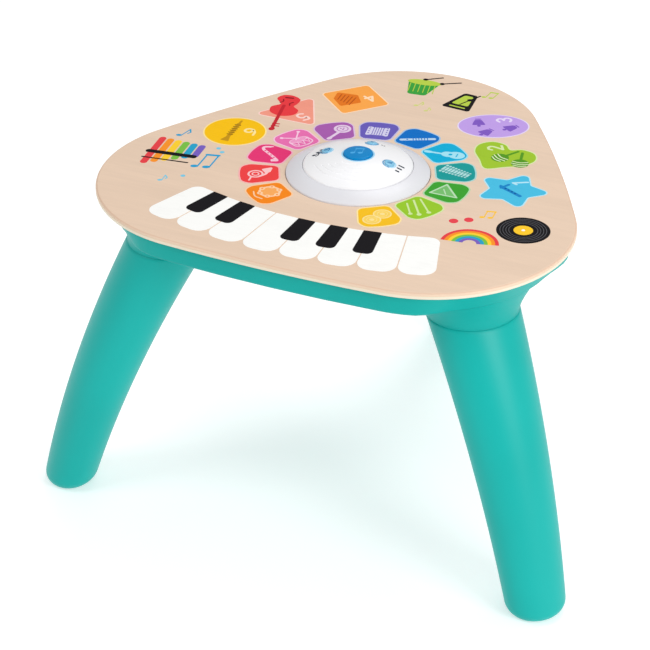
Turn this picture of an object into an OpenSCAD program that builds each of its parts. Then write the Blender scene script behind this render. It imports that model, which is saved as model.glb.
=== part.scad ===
// Musical activity table: a rounded-triangle wooden play top with a touch-sensing
// film under it, a light dome with push buttons, a moulded tray with three leg sockets,
// three hollow bowed legs, and an electronics pod with speaker, battery bay and switch.
// Millimetres. The floor is z = 0, the player sits on the -Y side, the third leg is at +Y.

/* [Play top] */
// Height of the play surface above the floor
top_h = 340; // [320:1:380]
// Thickness of the wooden top
top_t = 6; // [5:0.5:9]
// Distance from the middle of the table to the middle of a side
side_mid = 198; // [188:1:215]
// Radius of the three rounded corners
corner_r = 138; // [120:1:150]
// Radius of the slightly bowed sides
side_r = 1600; // [1200:50:3000]
// Round on the upper edge of the top
edge_round = 2.5; // [1:0.5:3]
// Chamfer on the lower edge of the top
edge_chamfer = 0.6; // [0.3:0.1:1]

/* [Tray] */
// Depth of the tray below the wooden top
tray_depth = 22; // [18:0.5:28]
// How far the tray wall stands in from the edge of the top
tray_inset = 5; // [3:0.5:9]
// Wall of the tray and its sockets
tray_wall = 2.5; // [2:0.25:3.5]
// Draft of the tray wall from top to bottom
tray_draft = 1; // [0.5:0.25:2]
// Round along the lower edge of the tray
tray_round = 4; // [2:0.5:6]
// Angle either side of a corner over which the wall sweeps in to the socket
sweep_angle = 24; // [20:1:40]
// Half angle at each corner within which the wall sweeps in all the way
sweep_flat = 12; // [0:1:18]
// Height of the ribs on the tray floor
rib_h = 6; // [3:0.5:8]
// Thickness of a rib
rib_t = 1.6; // [1.2:0.1:2.4]
// Number of ribs between two screw bosses
rib_count = 4; // [2:1:5]
// Opening in the tray floor for the electronics pod
pod_opening_r = 76; // [74:1:80]

/* [Legs] */
// Distance from the middle of the table to the middle of a foot
foot_reach = 297; // [280:1:315]
// Distance from the middle of the table to the leg's axis at the socket
socket_reach = 183; // [178:0.5:190]
// Outward bow of the leg's axis at half height
leg_bow = 9.65; // [4:0.05:16]
// Drop from the tray's floor to the joint line between leg and socket
seam_drop = 33; // [26:1:38]
// Half width of the leg at the floor, along the table's radius
foot_a = 26.3; // [24:0.1:32]
// Half width of the leg at the floor, across the table's radius
foot_b = 30; // [28:0.5:36]
// Half width of the leg at the joint line, along the table's radius
head_a = 41.4; // [38:0.1:46]
// Half width of the leg at the joint line, across the table's radius
head_b = 45.8; // [42:0.1:52]
// Wall of the hollow leg
leg_wall = 3; // [2.5:0.25:4]
// Round at the bottom of the leg
foot_round = 12; // [8:1:16]
// Length of the tenon that slides into the socket
tenon_len = 36; // [26:1:40]
// Gap round the tenon in its socket
tenon_gap = 0.3; // [0.2:0.05:0.5]
// Width of the snap catch on the tenon
catch_w = 14; // [10:1:18]
// Height of the snap catch
catch_h = 6; // [4:0.5:8]
// How far the snap catch stands out of the tenon
catch_out = 2; // [1.5:0.25:2.25]
// Half width of the rubber foot pad along the radius
pad_a = 13; // [10:0.5:14]
// Half width of the rubber foot pad across the radius
pad_b = 16; // [12:0.5:18]
// Thickness of the foot pad
pad_t = 2.5; // [2:0.25:3.5]
// How far the foot pad stands below the leg
pad_out = 1; // [0.5:0.25:1.25]

/* [Light dome] */
// Offset of the dome towards the back of the table
dome_y = 3; // [0:0.5:6]
// Outer radius of the light ring
ring_r = 70; // [68:0.5:74]
// Height of the light ring's outer edge above the top
ring_lip = 1.2; // [0.5:0.1:2]
// Gap between the light ring and the hole in the top
ring_gap = 0.4; // [0.3:0.05:0.6]
// Wall of the light ring
ring_wall = 2; // [1.6:0.1:2.6]
// Radius of the clamping flange under the top
flange_r = 78; // [76:0.5:82]
// Thickness of the clamping flange
flange_t = 2.4; // [2:0.1:3]
// Outer radius of the white cover
cover_r = 53.5; // [50:0.5:56]
// Height of the cover's rim above the top
cover_rim_h = 9; // [7:0.5:11]
// Height of the cover's crown above the top
cover_crown_h = 20.5; // [18:0.5:23]
// Wall of the cover
cover_wall = 2.2; // [1.8:0.1:2.6]
// Width of the ledge that the cover rests on
ledge_w = 3; // [2.5:0.25:4]
// Number of raised-pattern arcs in front of the main button
arc_count = 5; // [3:1:6]
// Radius of the first arc
arc_first_r = 21; // [19:0.5:22]
// Distance between arcs
arc_pitch = 5.5; // [4:0.25:6]
// Width of an arc groove
arc_w = 1.6; // [1:0.1:2]
// Depth of an arc groove
arc_deep = 0.7; // [0.4:0.1:1]

/* [Buttons] */
// Radius of the main button
main_button_r = 14.3; // [12:0.1:15.5]
// Radius of a small button
small_button_r = 5.2; // [4.5:0.1:6]
// Distance of the small buttons from the dome's axis
small_button_reach = 33; // [28:0.5:36]
// How far the main button stands above the cover
main_button_out = 2; // [1.8:0.1:3]
// How far a small button stands above the cover
small_button_out = 1.6; // [1.5:0.1:2.2]
// Gap between a button and its hole
button_gap = 0.3; // [0.2:0.05:0.5]
// Width of the flange that keeps a button in
button_flange = 1.6; // [1.2:0.1:2]
// Travel of the main button
main_travel = 1.5; // [1:0.1:2]
// Travel of a small button
small_travel = 1.2; // [0.8:0.1:1.5]
// Radius of a button's stem
stem_r = 2.6; // [2.2:0.1:3]

/* [Dome electronics] */
// Radius of the board under the dome
dome_board_r = 60; // [56:0.5:62]
// Thickness of a circuit board
board_t = 1.6; // [1.2:0.1:2]
// Height of the dome board's underside above the play surface, negative is below
dome_board_z = -4.5; // [-5:0.25:-3.5]
// Number of lamps round the dome board
led_count = 12; // [8:1:16]
// Distance of the lamps from the dome's axis
led_reach = 56; // [52:0.5:57]
// Side of a push switch
switch_side = 6; // [5:0.25:6.5]
// Height of a push switch's body
switch_h = 3.5; // [3:0.25:4.5]

/* [Electronics pod] */
// Outer radius of the pod's cup
pod_r = 75.5; // [73:0.5:75.5]
// Outer radius of the pod's flange
pod_flange_r = 86; // [85:0.5:90]
// Depth of the pod below the tray
pod_depth = 16; // [15.5:0.5:22]
// Wall of the pod
pod_wall = 2.5; // [2:0.25:3]
// Radius of the speaker
speaker_r = 28; // [24:0.5:28.5]
// Distance of the speaker from the middle of the table
speaker_x = 38; // [34:0.5:40]
// Radius of a speaker grille hole
grille_hole_r = 1.5; // [1.2:0.1:1.8]
// Distance between rings of grille holes
grille_pitch = 6; // [5:0.25:7]
// Radius of an AA cell
cell_r = 7.1; // [7:0.05:7.25]
// Length of an AA cell's can
cell_len = 49.2; // [48:0.1:49.5]
// Number of cells
cell_count = 3; // [2:1:3]
// Distance of the battery bay's middle from the middle of the table
bay_x = 36; // [34:0.5:38]
// Wall of the battery bay
bay_wall = 2.5; // [2:0.25:3]
// Clearance of the cells in the bay
bay_gap = 0.5; // [0.3:0.1:0.8]
// Gap round the battery door
door_gap = 0.4; // [0.3:0.05:0.6]
// Travel of the power switch from off to loud
power_travel = 5; // [4:0.5:6]

/* [Fasteners] */
// Radius of a screw's shank
screw_r = 1.5; // [1.25:0.05:1.75]
// Radius of a screw's head
screw_head_r = 3; // [2.75:0.05:3.25]
// Height of a screw's head
screw_head_h = 2; // [1.6:0.1:2.2]
// Radial gap between a screw and the hole it is driven into
screw_gap = 0.05; // [0.03:0.01:0.1]
// Radius of a screw boss
boss_r = 5; // [4.5:0.25:6]

/* [Hidden] */
$fn = 64;

corner_angles = [90, 210, 330];
corner_steps = 24;        // facets of one rounded corner
side_steps = 4;           // facets of one bowed side
leg_sides = 32;           // facets round a leg
seat = 0.3;               // resting clearance between a moving piece and its stop
cut = 1;                  // overshoot of a cutting tool
under_top = top_h - top_t;
tray_floor = under_top - tray_depth;          // underside of the tray floor
tray_floor_top = tray_floor + tray_wall;
seam_h = tray_floor - seam_drop;               // joint line between leg and socket
hole_r = ring_r + ring_gap;

// The centre of a corner's arc, from the two arcs being tangent inside one another
side_centre = side_r - side_mid;
corner_centre = (-side_centre + sqrt(4 * pow(side_r - corner_r, 2) - 3 * pow(side_centre, 2))) / 2;
side_half = atan2(corner_centre + side_centre / 2, side_centre * cos(30)) - 30;

// The row frame is centred under the whole object, which the back foot lengthens
foot_heights = [for (i = [0:4]) pad_out + foot_round * (1 - cos(22.5 * i))];
back_reach = max([for (z = leg_levels()) leg_reach(z) + leg_a(z) - foot_tuck(z)]);
mid_y = (back_reach - side_mid) / 2;

function polar(r, a) = [r * cos(a), r * sin(a)];
function at_height(pts, z) = [for (p = pts) [p[0], p[1], z]];
function ellipse_points(a, b, n) = [for (i = [0:n - 1]) [a * cos(360 * i / n), b * sin(360 * i / n)]];

// The rounded triangle as points, its edge moved in by inset
function outline(inset) = [for (c = corner_angles) each concat(
    [for (i = [0:corner_steps])
        polar(corner_centre, c) + polar(corner_r - inset,
              c - 60 + side_half + (120 - 2 * side_half) * i / corner_steps)],
    [for (i = [1:side_steps - 1])
        polar(side_centre, c - 120) + polar(side_r - inset,
              c + 60 - side_half + 2 * side_half * i / side_steps)])];

// The leg: axis, half widths and the tuck-in of its rounded foot, all by height
function leg_share(z) = z / seam_h;
function leg_reach(z) = foot_reach + (socket_reach - foot_reach) * leg_share(z)
                        + 4 * leg_bow * leg_share(z) * (1 - leg_share(z));
function leg_a(z) = foot_a + (head_a - foot_a) * leg_share(z);
function leg_b(z) = foot_b + (head_b - foot_b) * leg_share(z);
function foot_tuck(z) = z >= pad_out + foot_round ? 0
    : foot_round - sqrt(max(0, pow(foot_round, 2) - pow(pad_out + foot_round - z, 2)));
function leg_levels() = concat(foot_heights, [for (i = [1:9]) pad_out + foot_round
                        + (seam_h - pad_out - foot_round) * i / 9]);
function leg_ring(z, inset) =
    let (a = leg_a(z) - inset, b = leg_b(z) - inset)
    [for (p = ellipse_points(a, b, leg_sides)) [leg_reach(z) + p[0], p[1], z]];

// The tenon on top of the leg and the cup it fits share one straight leaning axis
cup_inset = tray_wall + 0.5;
tenon_a = head_a - cup_inset;
tenon_b = head_b - cup_inset;
tenon_top = seam_h + tenon_len;
tenon_lean = (leg_reach(tenon_top) - leg_reach(seam_h)) / tenon_len;
catch_z = tenon_top - 12;
function tenon_reach(z) = leg_reach(seam_h) + tenon_lean * (z - seam_h);
function tenon_ring(z, inset) =
    [for (p = ellipse_points(tenon_a - inset, tenon_b - inset, leg_sides))
        [tenon_reach(z) + p[0], p[1], z]];

// The socket flares to meet the wall, which sweeps in to the socket at each corner
sweep_from = seam_h + 2;
corner_reach = corner_centre + corner_r - tray_inset;
sweep_in = corner_reach - leg_reach(sweep_from) - leg_a(sweep_from);
sweep_power = 1.5;        // 1 sweeps in on a straight slope, and more bows it
function sweep(z) = sweep_in
    * (1 - pow(max(0, (z - sweep_from) / (under_top - sweep_from)), sweep_power));
function flare(z) = z <= sweep_from ? 0
    : corner_reach - sweep(z) - leg_reach(z) - leg_a(z);
flare_levels = [for (i = [0:4]) sweep_from + (tray_floor - sweep_from) * i / 4];
socket_gap = 0.3;
function socket_ring(z, inset) =
    let (f = flare(z), a = leg_a(z) + 0.7 * f - inset, b = leg_b(z) + 0.9 * f - inset)
    [for (p = ellipse_points(a, b, leg_sides)) [leg_reach(z) + 0.3 * f + p[0], p[1], z]];
function corner_share(p) =
    let (off = min([for (c = corner_angles) abs(((atan2(p[1], p[0]) - c + 540) % 360) - 180)]),
         s = min(1, max(0, (sweep_angle - off) / (sweep_angle - sweep_flat))))
    s * s * (3 - 2 * s);
// The draft and the lower round, given as taper, fade out where a socket takes over the wall
function tray_ring(z, inset, taper) =
    let (wide = outline(tray_inset + inset), slim = outline(tray_inset + inset + taper))
    [for (i = [0:len(wide) - 1])
        let (k = corner_share(wide[i]), p = wide[i] * k + slim[i] * (1 - k), r = norm(p))
        p * (r - k * sweep(z)) / r];

// The dome: a spherical cover above a sloping ring
cover_rise = cover_crown_h - cover_rim_h;
cover_ball_r = (pow(cover_r, 2) + pow(cover_rise, 2)) / (2 * cover_rise);
cover_ball_z = top_h + cover_crown_h - cover_ball_r;
cover_inner_r = cover_ball_r - cover_wall;
function cover_z(r) = cover_ball_z + sqrt(pow(cover_ball_r, 2) - pow(r, 2));
function cover_under(r) = cover_ball_z + sqrt(pow(cover_inner_r, 2) - pow(r, 2));
ring_top_z = top_h + cover_rim_h - 0.4;
ledge_z = ring_top_z - ring_wall;
dome_board_top = top_h + dome_board_z + board_t;
plunger_top = dome_board_top + switch_h + 1;
small_button_angles = [180, 0, 90];
board_screw_angles = [225, 315, 45, 135];
board_screw_reach = 42;
ring_screw_angles = [for (i = [0:5]) 30 + 60 * i];
ring_screw_reach = flange_r - 4;

film_t = 0.4;
film_inset = 16;

// The pod and what stands in it
small_tilt = asin(small_button_reach / cover_ball_r);
small_switch_reach = (plunger_top - cover_ball_z) * tan(small_tilt);
pod_floor = tray_floor - pod_depth;
pod_floor_top = pod_floor + pod_wall;
bay_pitch = 2 * cell_r + 1;
bay_w = cell_count * bay_pitch + 2 * bay_gap;
spring_room = 4;
plate_t = 0.5;
cell_nub = 1.3;
cell_nub_r = 2.7;
plate_half_w = 6;
plate_half_h = 4.8;
bay_l = cell_len + cell_nub + spring_room + 2 * plate_t;
cell_z = pod_floor_top + cell_r + 0.3;
bay_roof = cell_z + cell_r + 0.4;
door_step = 1.2;
door_tongue = 11;
bay_y0 = -(bay_l + door_tongue) / 2;
bay_y1 = bay_y0 + bay_l;
door_screw_y = bay_y1 + bay_wall + 3.2;
function cell_x(i) = bay_x + (i - (cell_count - 1) / 2) * bay_pitch;
battery_wire_spots = [[cell_x(0), bay_y0 + 0.65], [cell_x(cell_count - 1), bay_y1 - 0.65]];
board_post_h = 3;
main_board_z = bay_roof + bay_wall + board_post_h;
main_board_w = 46;
main_board_l = 58;
main_board_y = (bay_y0 + bay_y1) / 2;
main_board_spots = [for (x = [-1, 1], y = [-1, 1])
    [bay_x + x * (main_board_w / 2 - 4), main_board_y + y * (main_board_l / 2 - 4)]];
pod_screw_reach = 81;
pod_screw_angles = [for (i = [0:5]) 60 * i];
power_y = -62;
power_slot_w = 4;
power_knob_w = 6;
power_stem = 4;
power_slot = power_stem + power_travel + 2 * seat;
switch_bed = 2.1;
switch_ear_reach = 14;
speaker_flange_t = 2;
speaker_stand = 3;
speaker_ear_reach = speaker_r + 1.5;
speaker_ear_t = speaker_flange_t + 0.4;
speaker_screw_angles = [45, 135, 225, 315];
basket_h = 11;
wire_r = 0.7;
magnet_r = 14.5;
tray_screw_spots = [for (c = corner_angles) each [
    polar(side_mid - 26, c + 60),
    polar(side_mid - 24, c + 60 - 17),
    polar(side_mid - 24, c + 60 + 17)]];
tray_screw_sink = 5;
tray_screw_bite = 3.5;

// Puts a piece drawn about the table's middle into the row frame
module centred() {
    translate([0, -mid_y, 0]) children();
}

module at_dome() {
    translate([0, dome_y, 0]) children();
}

// A closed skin through rings of points, all with the same number of points
module loft(rings) {
    n = len(rings[0]);
    polyhedron(
        points = [for (r = rings) each r],
        faces = concat(
            [[for (i = [0:n - 1]) i]],
            [for (k = [0:len(rings) - 2], i = [0:n - 1]) each [
                [k * n + i, (k + 1) * n + i, (k + 1) * n + (i + 1) % n],
                [k * n + i, (k + 1) * n + (i + 1) % n, k * n + (i + 1) % n]]],
            [[for (i = [n - 1:-1:0]) (len(rings) - 1) * n + i]]),
        convexity = 6);
}

// A wire or ribbon: a section carried along a path of [distance, height] on one heading
module strand(start, heading, path, section) {
    across = [-sin(heading), cos(heading), 0];
    along = [cos(heading), sin(heading), 0];
    last = len(path) - 1;
    loft([for (i = [0:last])
        let (d = path[min(i + 1, last)] - path[max(i - 1, 0)],
             dir = (along * d[0] + [0, 0, d[1]]) / norm(d),
             up = cross(dir, across),
             at = start + along * path[i][0] + [0, 0, path[i][1]])
        [for (p = section) at + across * p[0] + up * p[1]]]);
}
function flat_section(w, t) = [[-w / 2, -t / 2], [w / 2, -t / 2], [w / 2, t / 2], [-w / 2, t / 2]];

// A screw with its head's seat at z = 0 and its shank along +Z
module screw(length) {
    cylinder(h = length, r = screw_r, $fn = 24);
    difference() {
        translate([0, 0, -screw_head_h]) cylinder(h = screw_head_h, r = screw_head_r, $fn = 32);
        for (a = [0, 90]) rotate(a) translate([-screw_head_r * 0.6, -0.4, -screw_head_h - cut])
            cube([screw_head_r * 1.2, 0.8, cut + 0.9]);
    }
}

module top_panel() {
    color([0.90, 0.79, 0.67]) centred() difference() {
        loft(concat(
            [at_height(outline(edge_chamfer), under_top),
             at_height(outline(0), under_top + edge_chamfer)],
            [for (a = [0:22.5:90])
                at_height(outline(edge_round * (1 - cos(a))), top_h - edge_round * (1 - sin(a)))]));
        at_dome() translate([0, 0, under_top - cut]) cylinder(h = top_t + 2 * cut, r = hole_r, $fn = 128);
        for (p = tray_screw_spots) translate([p[0], p[1], under_top - cut])
            cylinder(h = cut + tray_screw_bite + 0.3, r = screw_r + screw_gap, $fn = 24);
        at_dome() for (a = ring_screw_angles) rotate(a) translate([ring_screw_reach, 0, under_top - cut])
            cylinder(h = cut + tray_screw_bite + 0.3, r = screw_r + screw_gap, $fn = 24);
    }
}

module touch_film() {
    color([0.85, 0.62, 0.25]) centred() translate([0, 0, under_top - film_t]) linear_extrude(film_t)
        difference() {
            polygon(outline(film_inset));
            translate([0, dome_y]) circle(r = flange_r + 1, $fn = 96);
            for (p = tray_screw_spots) translate(p) circle(r = boss_r + 0.5, $fn = 32);
        }
}

module tray_skirt() {
    loft(concat(
        [for (a = [0:30:60]) let (z = tray_floor + tray_round * (1 - sin(90 - a)))
            at_height(tray_ring(z, 0, tray_draft + tray_round * (1 - cos(90 - a))), z)],
        [for (i = [0:3]) let (z = tray_floor + tray_round + (tray_depth - tray_round) * i / 3)
            at_height(tray_ring(z, 0, tray_draft * (1 - i / 3)), z)]));
}
module tray_cavity() {
    inset = tray_wall + tray_draft;
    loft([for (i = [0:3]) let (z = tray_floor_top + (tray_depth - tray_wall) * i / 3)
            at_height(tray_ring(z, inset, 0), z + (i == 3 ? cut : 0))]);
}
// The straight-sided cup inside the socket that the tenon slides up into
module socket_cup(z0, z1, inset) {
    loft([tenon_ring(z0, inset), tenon_ring(z1, inset)]);
}
// The catch leads in flush at its top and hooks at its foot, because the tenon leans
module catch_block(grow, through) {
    r = tenon_reach(catch_z) - tenon_a + tenon_gap;
    translate([r - catch_out - grow - through, -catch_w / 2 - grow, catch_z - grow])
        cube([catch_out + 4 + grow + through, catch_w + 2 * grow, catch_h + 2 * grow]);
}

module tray_ribs() {
    for (c = corner_angles, i = [0:rib_count - 1]) {
        a = c + 60 - 24 + 48 * (i + 0.5) / rib_count;
        rotate(a) translate([pod_opening_r + 9, -rib_t / 2, tray_floor_top - 0.2])
            cube([side_mid - tray_inset - pod_opening_r - 9 - tray_wall - 2, rib_t, rib_h]);
    }
}

module base_tray() {
    color([0.16, 0.71, 0.68]) centred() difference() {
        union() {
            difference() {
                tray_skirt();
                tray_cavity();
            }
            for (p = tray_screw_spots) translate([p[0], p[1], tray_floor + 0.5])
                cylinder(h = tray_depth - 0.5, r = boss_r, $fn = 32);
            for (a = pod_screw_angles) rotate(a) translate([pod_screw_reach, 0, tray_floor_top - 0.5])
                cylinder(h = rib_h + 2.5, r = boss_r - 1, $fn = 32);
            difference() {
                translate([0, 0, tray_floor_top - 0.5]) cylinder(h = rib_h, r = pod_opening_r + 10, $fn = 96);
                translate([0, 0, tray_floor_top - cut]) cylinder(h = rib_h + 2 * cut, r = pod_opening_r + 10 - rib_t, $fn = 96);
            }
            tray_ribs();
        }
        for (c = corner_angles) rotate(c)
            socket_cup(tray_floor - cut, tray_floor_top + cut, -tray_wall - socket_gap);
        translate([0, 0, tray_floor - cut]) cylinder(h = tray_wall + 2 * cut, r = pod_opening_r, $fn = 96);
        for (p = tray_screw_spots) translate([p[0], p[1], tray_floor - cut]) {
            cylinder(h = tray_depth + 2 * cut, r = screw_r + 0.2, $fn = 24);
            cylinder(h = cut + tray_screw_sink, r = screw_head_r + 0.4, $fn = 32);
        }
        for (a = pod_screw_angles) rotate(a) translate([pod_screw_reach, 0, tray_floor - cut])
            cylinder(h = cut + 7, r = screw_r + screw_gap, $fn = 24);
    }
}

// Each socket is a collar welded under the tray, with the tenon's cup standing up through it
module leg_socket() {
    difference() {
        union() {
            difference() {
                loft([for (z = concat([seam_h], flare_levels)) socket_ring(z, 0)]);
                loft([for (z = flare_levels) at_height(socket_ring(z, tray_wall),
                      z + (z == tray_floor ? cut : 0))]);
            }
            socket_cup(sweep_from - 1, tenon_top + 1 + tray_wall, -tray_wall);
        }
        socket_cup(seam_h - cut, tenon_top + 1, 0);
        catch_block(tenon_gap, 3);
    }
}
module leg_sockets() {
    color([0.16, 0.71, 0.68]) centred() for (c = corner_angles) rotate(c) leg_socket();
}

// One hollow leg, drawn along +X and turned to its corner
module leg(angle) {
    color([0.12, 0.72, 0.70]) centred() rotate(angle) difference() {
        union() {
            loft([for (z = leg_levels()) leg_ring(z, foot_tuck(z))]);
            socket_cup(seam_h - 2, tenon_top, tenon_gap);
            catch_block(0, 0);
        }
        loft(concat(
            [for (z = [pad_out + leg_wall + pad_t, pad_out + foot_round])
                leg_ring(z, leg_wall + foot_tuck(z))],
            [for (i = [1:6]) let (z = pad_out + foot_round + (seam_h - 8 - pad_out - foot_round) * i / 6)
                leg_ring(z, leg_wall)],
            [tenon_ring(seam_h, tenon_gap + leg_wall),
             tenon_ring(tenon_top - leg_wall, tenon_gap + leg_wall)]));
        translate([0, 0, -cut]) foot_pad_shape(cut + pad_t, 0);
    }
}
module leg_left() leg(corner_angles[1]);
module leg_right() leg(corner_angles[2]);
module leg_back() leg(corner_angles[0]);

module foot_pad_shape(height, grow) {
    translate([foot_reach, 0, 0]) linear_extrude(height) polygon(ellipse_points(pad_a + grow, pad_b + grow, 40));
}
module foot_pads() {
    color([0.25, 0.27, 0.28]) centred() for (c = corner_angles) rotate(c) foot_pad_shape(pad_t, 0);
}

// The translucent ring: clamped under the top, it slopes up to the cover's ledge
module light_ring() {
    inner = ring_r - ring_wall;
    color([0.88, 0.88, 0.90, 0.9]) centred() at_dome() difference() {
        union() {
            rotate_extrude($fn = 128) polygon([
                [inner, under_top - flange_t], [flange_r, under_top - flange_t],
                [flange_r, under_top], [ring_r, under_top], [ring_r, top_h + ring_lip - 0.6],
                [ring_r - 0.6, top_h + ring_lip], [cover_r + ring_gap, ring_top_z],
                [cover_r + ring_gap, ledge_z], [cover_r - ledge_w, ledge_z],
                [cover_r - ledge_w, ledge_z - ring_wall], [cover_r + ring_gap, ledge_z - ring_wall],
                [inner, top_h - 1]]);
            for (a = ring_screw_angles) rotate(a) translate([dome_board_r - 3, -2.5, dome_board_top])
                cube([inner - dome_board_r + 4, 5, top_h + 1 - dome_board_top]);
        }
        for (a = ring_screw_angles) rotate(a)
            translate([ring_screw_reach, 0, under_top - flange_t - cut])
                cylinder(h = flange_t + 2 * cut, r = screw_r + 0.2, $fn = 24);
    }
}

// Puts a small button's axis along the cover's normal, with the ball's centre as origin
module at_small_button(a) {
    at_dome() rotate(a) translate([0, 0, cover_ball_z]) rotate([0, small_tilt, 0]) children();
}

module dome_cover() {
    shell_steps = 12;
    color([0.98, 0.98, 0.98]) centred() difference() {
        union() {
            at_dome() rotate_extrude($fn = 128) polygon(concat(
                [for (i = [0:shell_steps]) let (r = cover_r * i / shell_steps) [r, cover_z(r)]],
                [[cover_r, ledge_z], [cover_r - ledge_w, ledge_z]],
                [for (i = [shell_steps:-1:0]) let (r = (cover_r - ledge_w) * i / shell_steps)
                    [r, cover_under(r)]]));
            at_dome() for (a = board_screw_angles) rotate(a)
                translate([board_screw_reach, 0, dome_board_top])
                    cylinder(h = cover_under(board_screw_reach) + 0.8 - dome_board_top, r = 3.4, $fn = 32);
        }
        at_dome() cylinder(h = 2 * top_h, r = main_button_r + button_gap, $fn = 64);
        for (a = small_button_angles) at_small_button(a) translate([0, 0, cover_inner_r - 3])
            cylinder(h = 8, r = small_button_r + button_gap, $fn = 48);
        at_dome() for (a = board_screw_angles) rotate(a)
            translate([board_screw_reach, 0, dome_board_top - cut])
                cylinder(h = cut + 8.5, r = screw_r + screw_gap, $fn = 24);
        at_dome() for (i = [0:arc_count - 1]) {
            r = arc_first_r + arc_pitch * i;
            half = 24 + 7 * i;
            rotate(270 - half) rotate_extrude(angle = 2 * half, $fn = 96)
                translate([r - arc_w / 2, cover_z(r) - arc_deep]) square([arc_w, 4]);
        }
    }
}

module main_button() {
    top = top_h + cover_crown_h + main_button_out;
    lip = cover_under(main_button_r + button_flange) - seat;
    color([0.17, 0.56, 0.77]) centred() at_dome() rotate_extrude($fn = 96) polygon([
        [0, plunger_top + main_travel + seat], [stem_r, plunger_top + main_travel + seat],
        [stem_r, top - 4.4], [main_button_r - 2, top - 4.8], [main_button_r - 2, lip - 1.6],
        [main_button_r + button_flange, lip - 1.6], [main_button_r + button_flange, lip],
        [main_button_r, lip], [main_button_r, top - 1.5], [main_button_r - 0.35, top - 0.85],
        [main_button_r - 1.1, top - 0.5], [main_button_r * 0.6, top - 0.15], [0, top]]);
}

module small_button(a) {
    top = cover_ball_r + small_button_out;
    rim = small_button_r + button_flange;
    lip = sqrt(pow(cover_inner_r, 2) - pow(rim, 2)) - seat;
    foot = (plunger_top - cover_ball_z) / cos(small_tilt) + small_travel + seat + stem_r * tan(small_tilt);
    color([0.55, 0.74, 0.88]) centred() at_small_button(a) rotate_extrude($fn = 48) polygon([
        [0, foot], [stem_r, foot], [stem_r, lip - 1.6], [rim, lip - 1.6], [rim, lip],
        [small_button_r, lip], [small_button_r, top - 0.8], [small_button_r - 0.25, top - 0.3],
        [small_button_r - 0.8, top], [0, top]]);
}
module left_button() small_button(small_button_angles[0]);
module right_button() small_button(small_button_angles[1]);
module rear_button() small_button(small_button_angles[2]);

module dome_board() {
    color([0.10, 0.42, 0.24]) centred() at_dome() difference() {
        translate([0, 0, top_h + dome_board_z]) cylinder(h = board_t, r = dome_board_r, $fn = 96);
        for (a = board_screw_angles) rotate(a) translate([board_screw_reach, 0, top_h + dome_board_z - cut])
            cylinder(h = board_t + 2 * cut, r = screw_r + 0.15, $fn = 24);
    }
}

module push_switch() {
    translate([-switch_side / 2, -switch_side / 2, dome_board_top]) cube([switch_side, switch_side, switch_h]);
    translate([0, 0, dome_board_top + switch_h - 0.5]) cylinder(h = 1.5, r = 1.7, $fn = 24);
}
module button_switches() {
    color([0.12, 0.12, 0.13]) centred() at_dome() {
        push_switch();
        for (a = small_button_angles) rotate(a) translate([small_switch_reach, 0, 0]) push_switch();
    }
}

module dome_lamps() {
    color([0.96, 0.93, 0.80]) centred() at_dome() for (i = [0:led_count - 1])
        rotate(15 + 360 * i / led_count) translate([led_reach - 1.6, -1.75, dome_board_top])
            cube([3.2, 3.5, 1.8]);
}

module dome_board_screws() {
    color([0.75, 0.75, 0.77]) centred() at_dome() for (a = board_screw_angles) rotate(a)
        translate([board_screw_reach, 0, top_h + dome_board_z]) screw(board_t + 7.5);
}

module ring_screws() {
    color([0.75, 0.75, 0.77]) centred() at_dome() for (a = ring_screw_angles) rotate(a)
        translate([ring_screw_reach, 0, under_top - flange_t]) screw(flange_t + tray_screw_bite);
}

module bay_block(z0, z1, grow) {
    translate([bay_x - bay_w / 2 - grow, bay_y0 - grow, z0]) cube([bay_w + 2 * grow, bay_l + 2 * grow, z1 - z0]);
}
// The door fills the step round the bay's mouth and a tongue that takes its screw
module door_outline(grow) {
    edge = door_step + grow;
    translate([bay_x - bay_w / 2 - edge, bay_y0 - edge]) square([bay_w + 2 * edge, bay_l + 2 * edge]);
    translate([bay_x - 6 - grow, bay_y1 - 1]) square([12 + 2 * grow, door_tongue + 1 + grow]);
}

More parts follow.
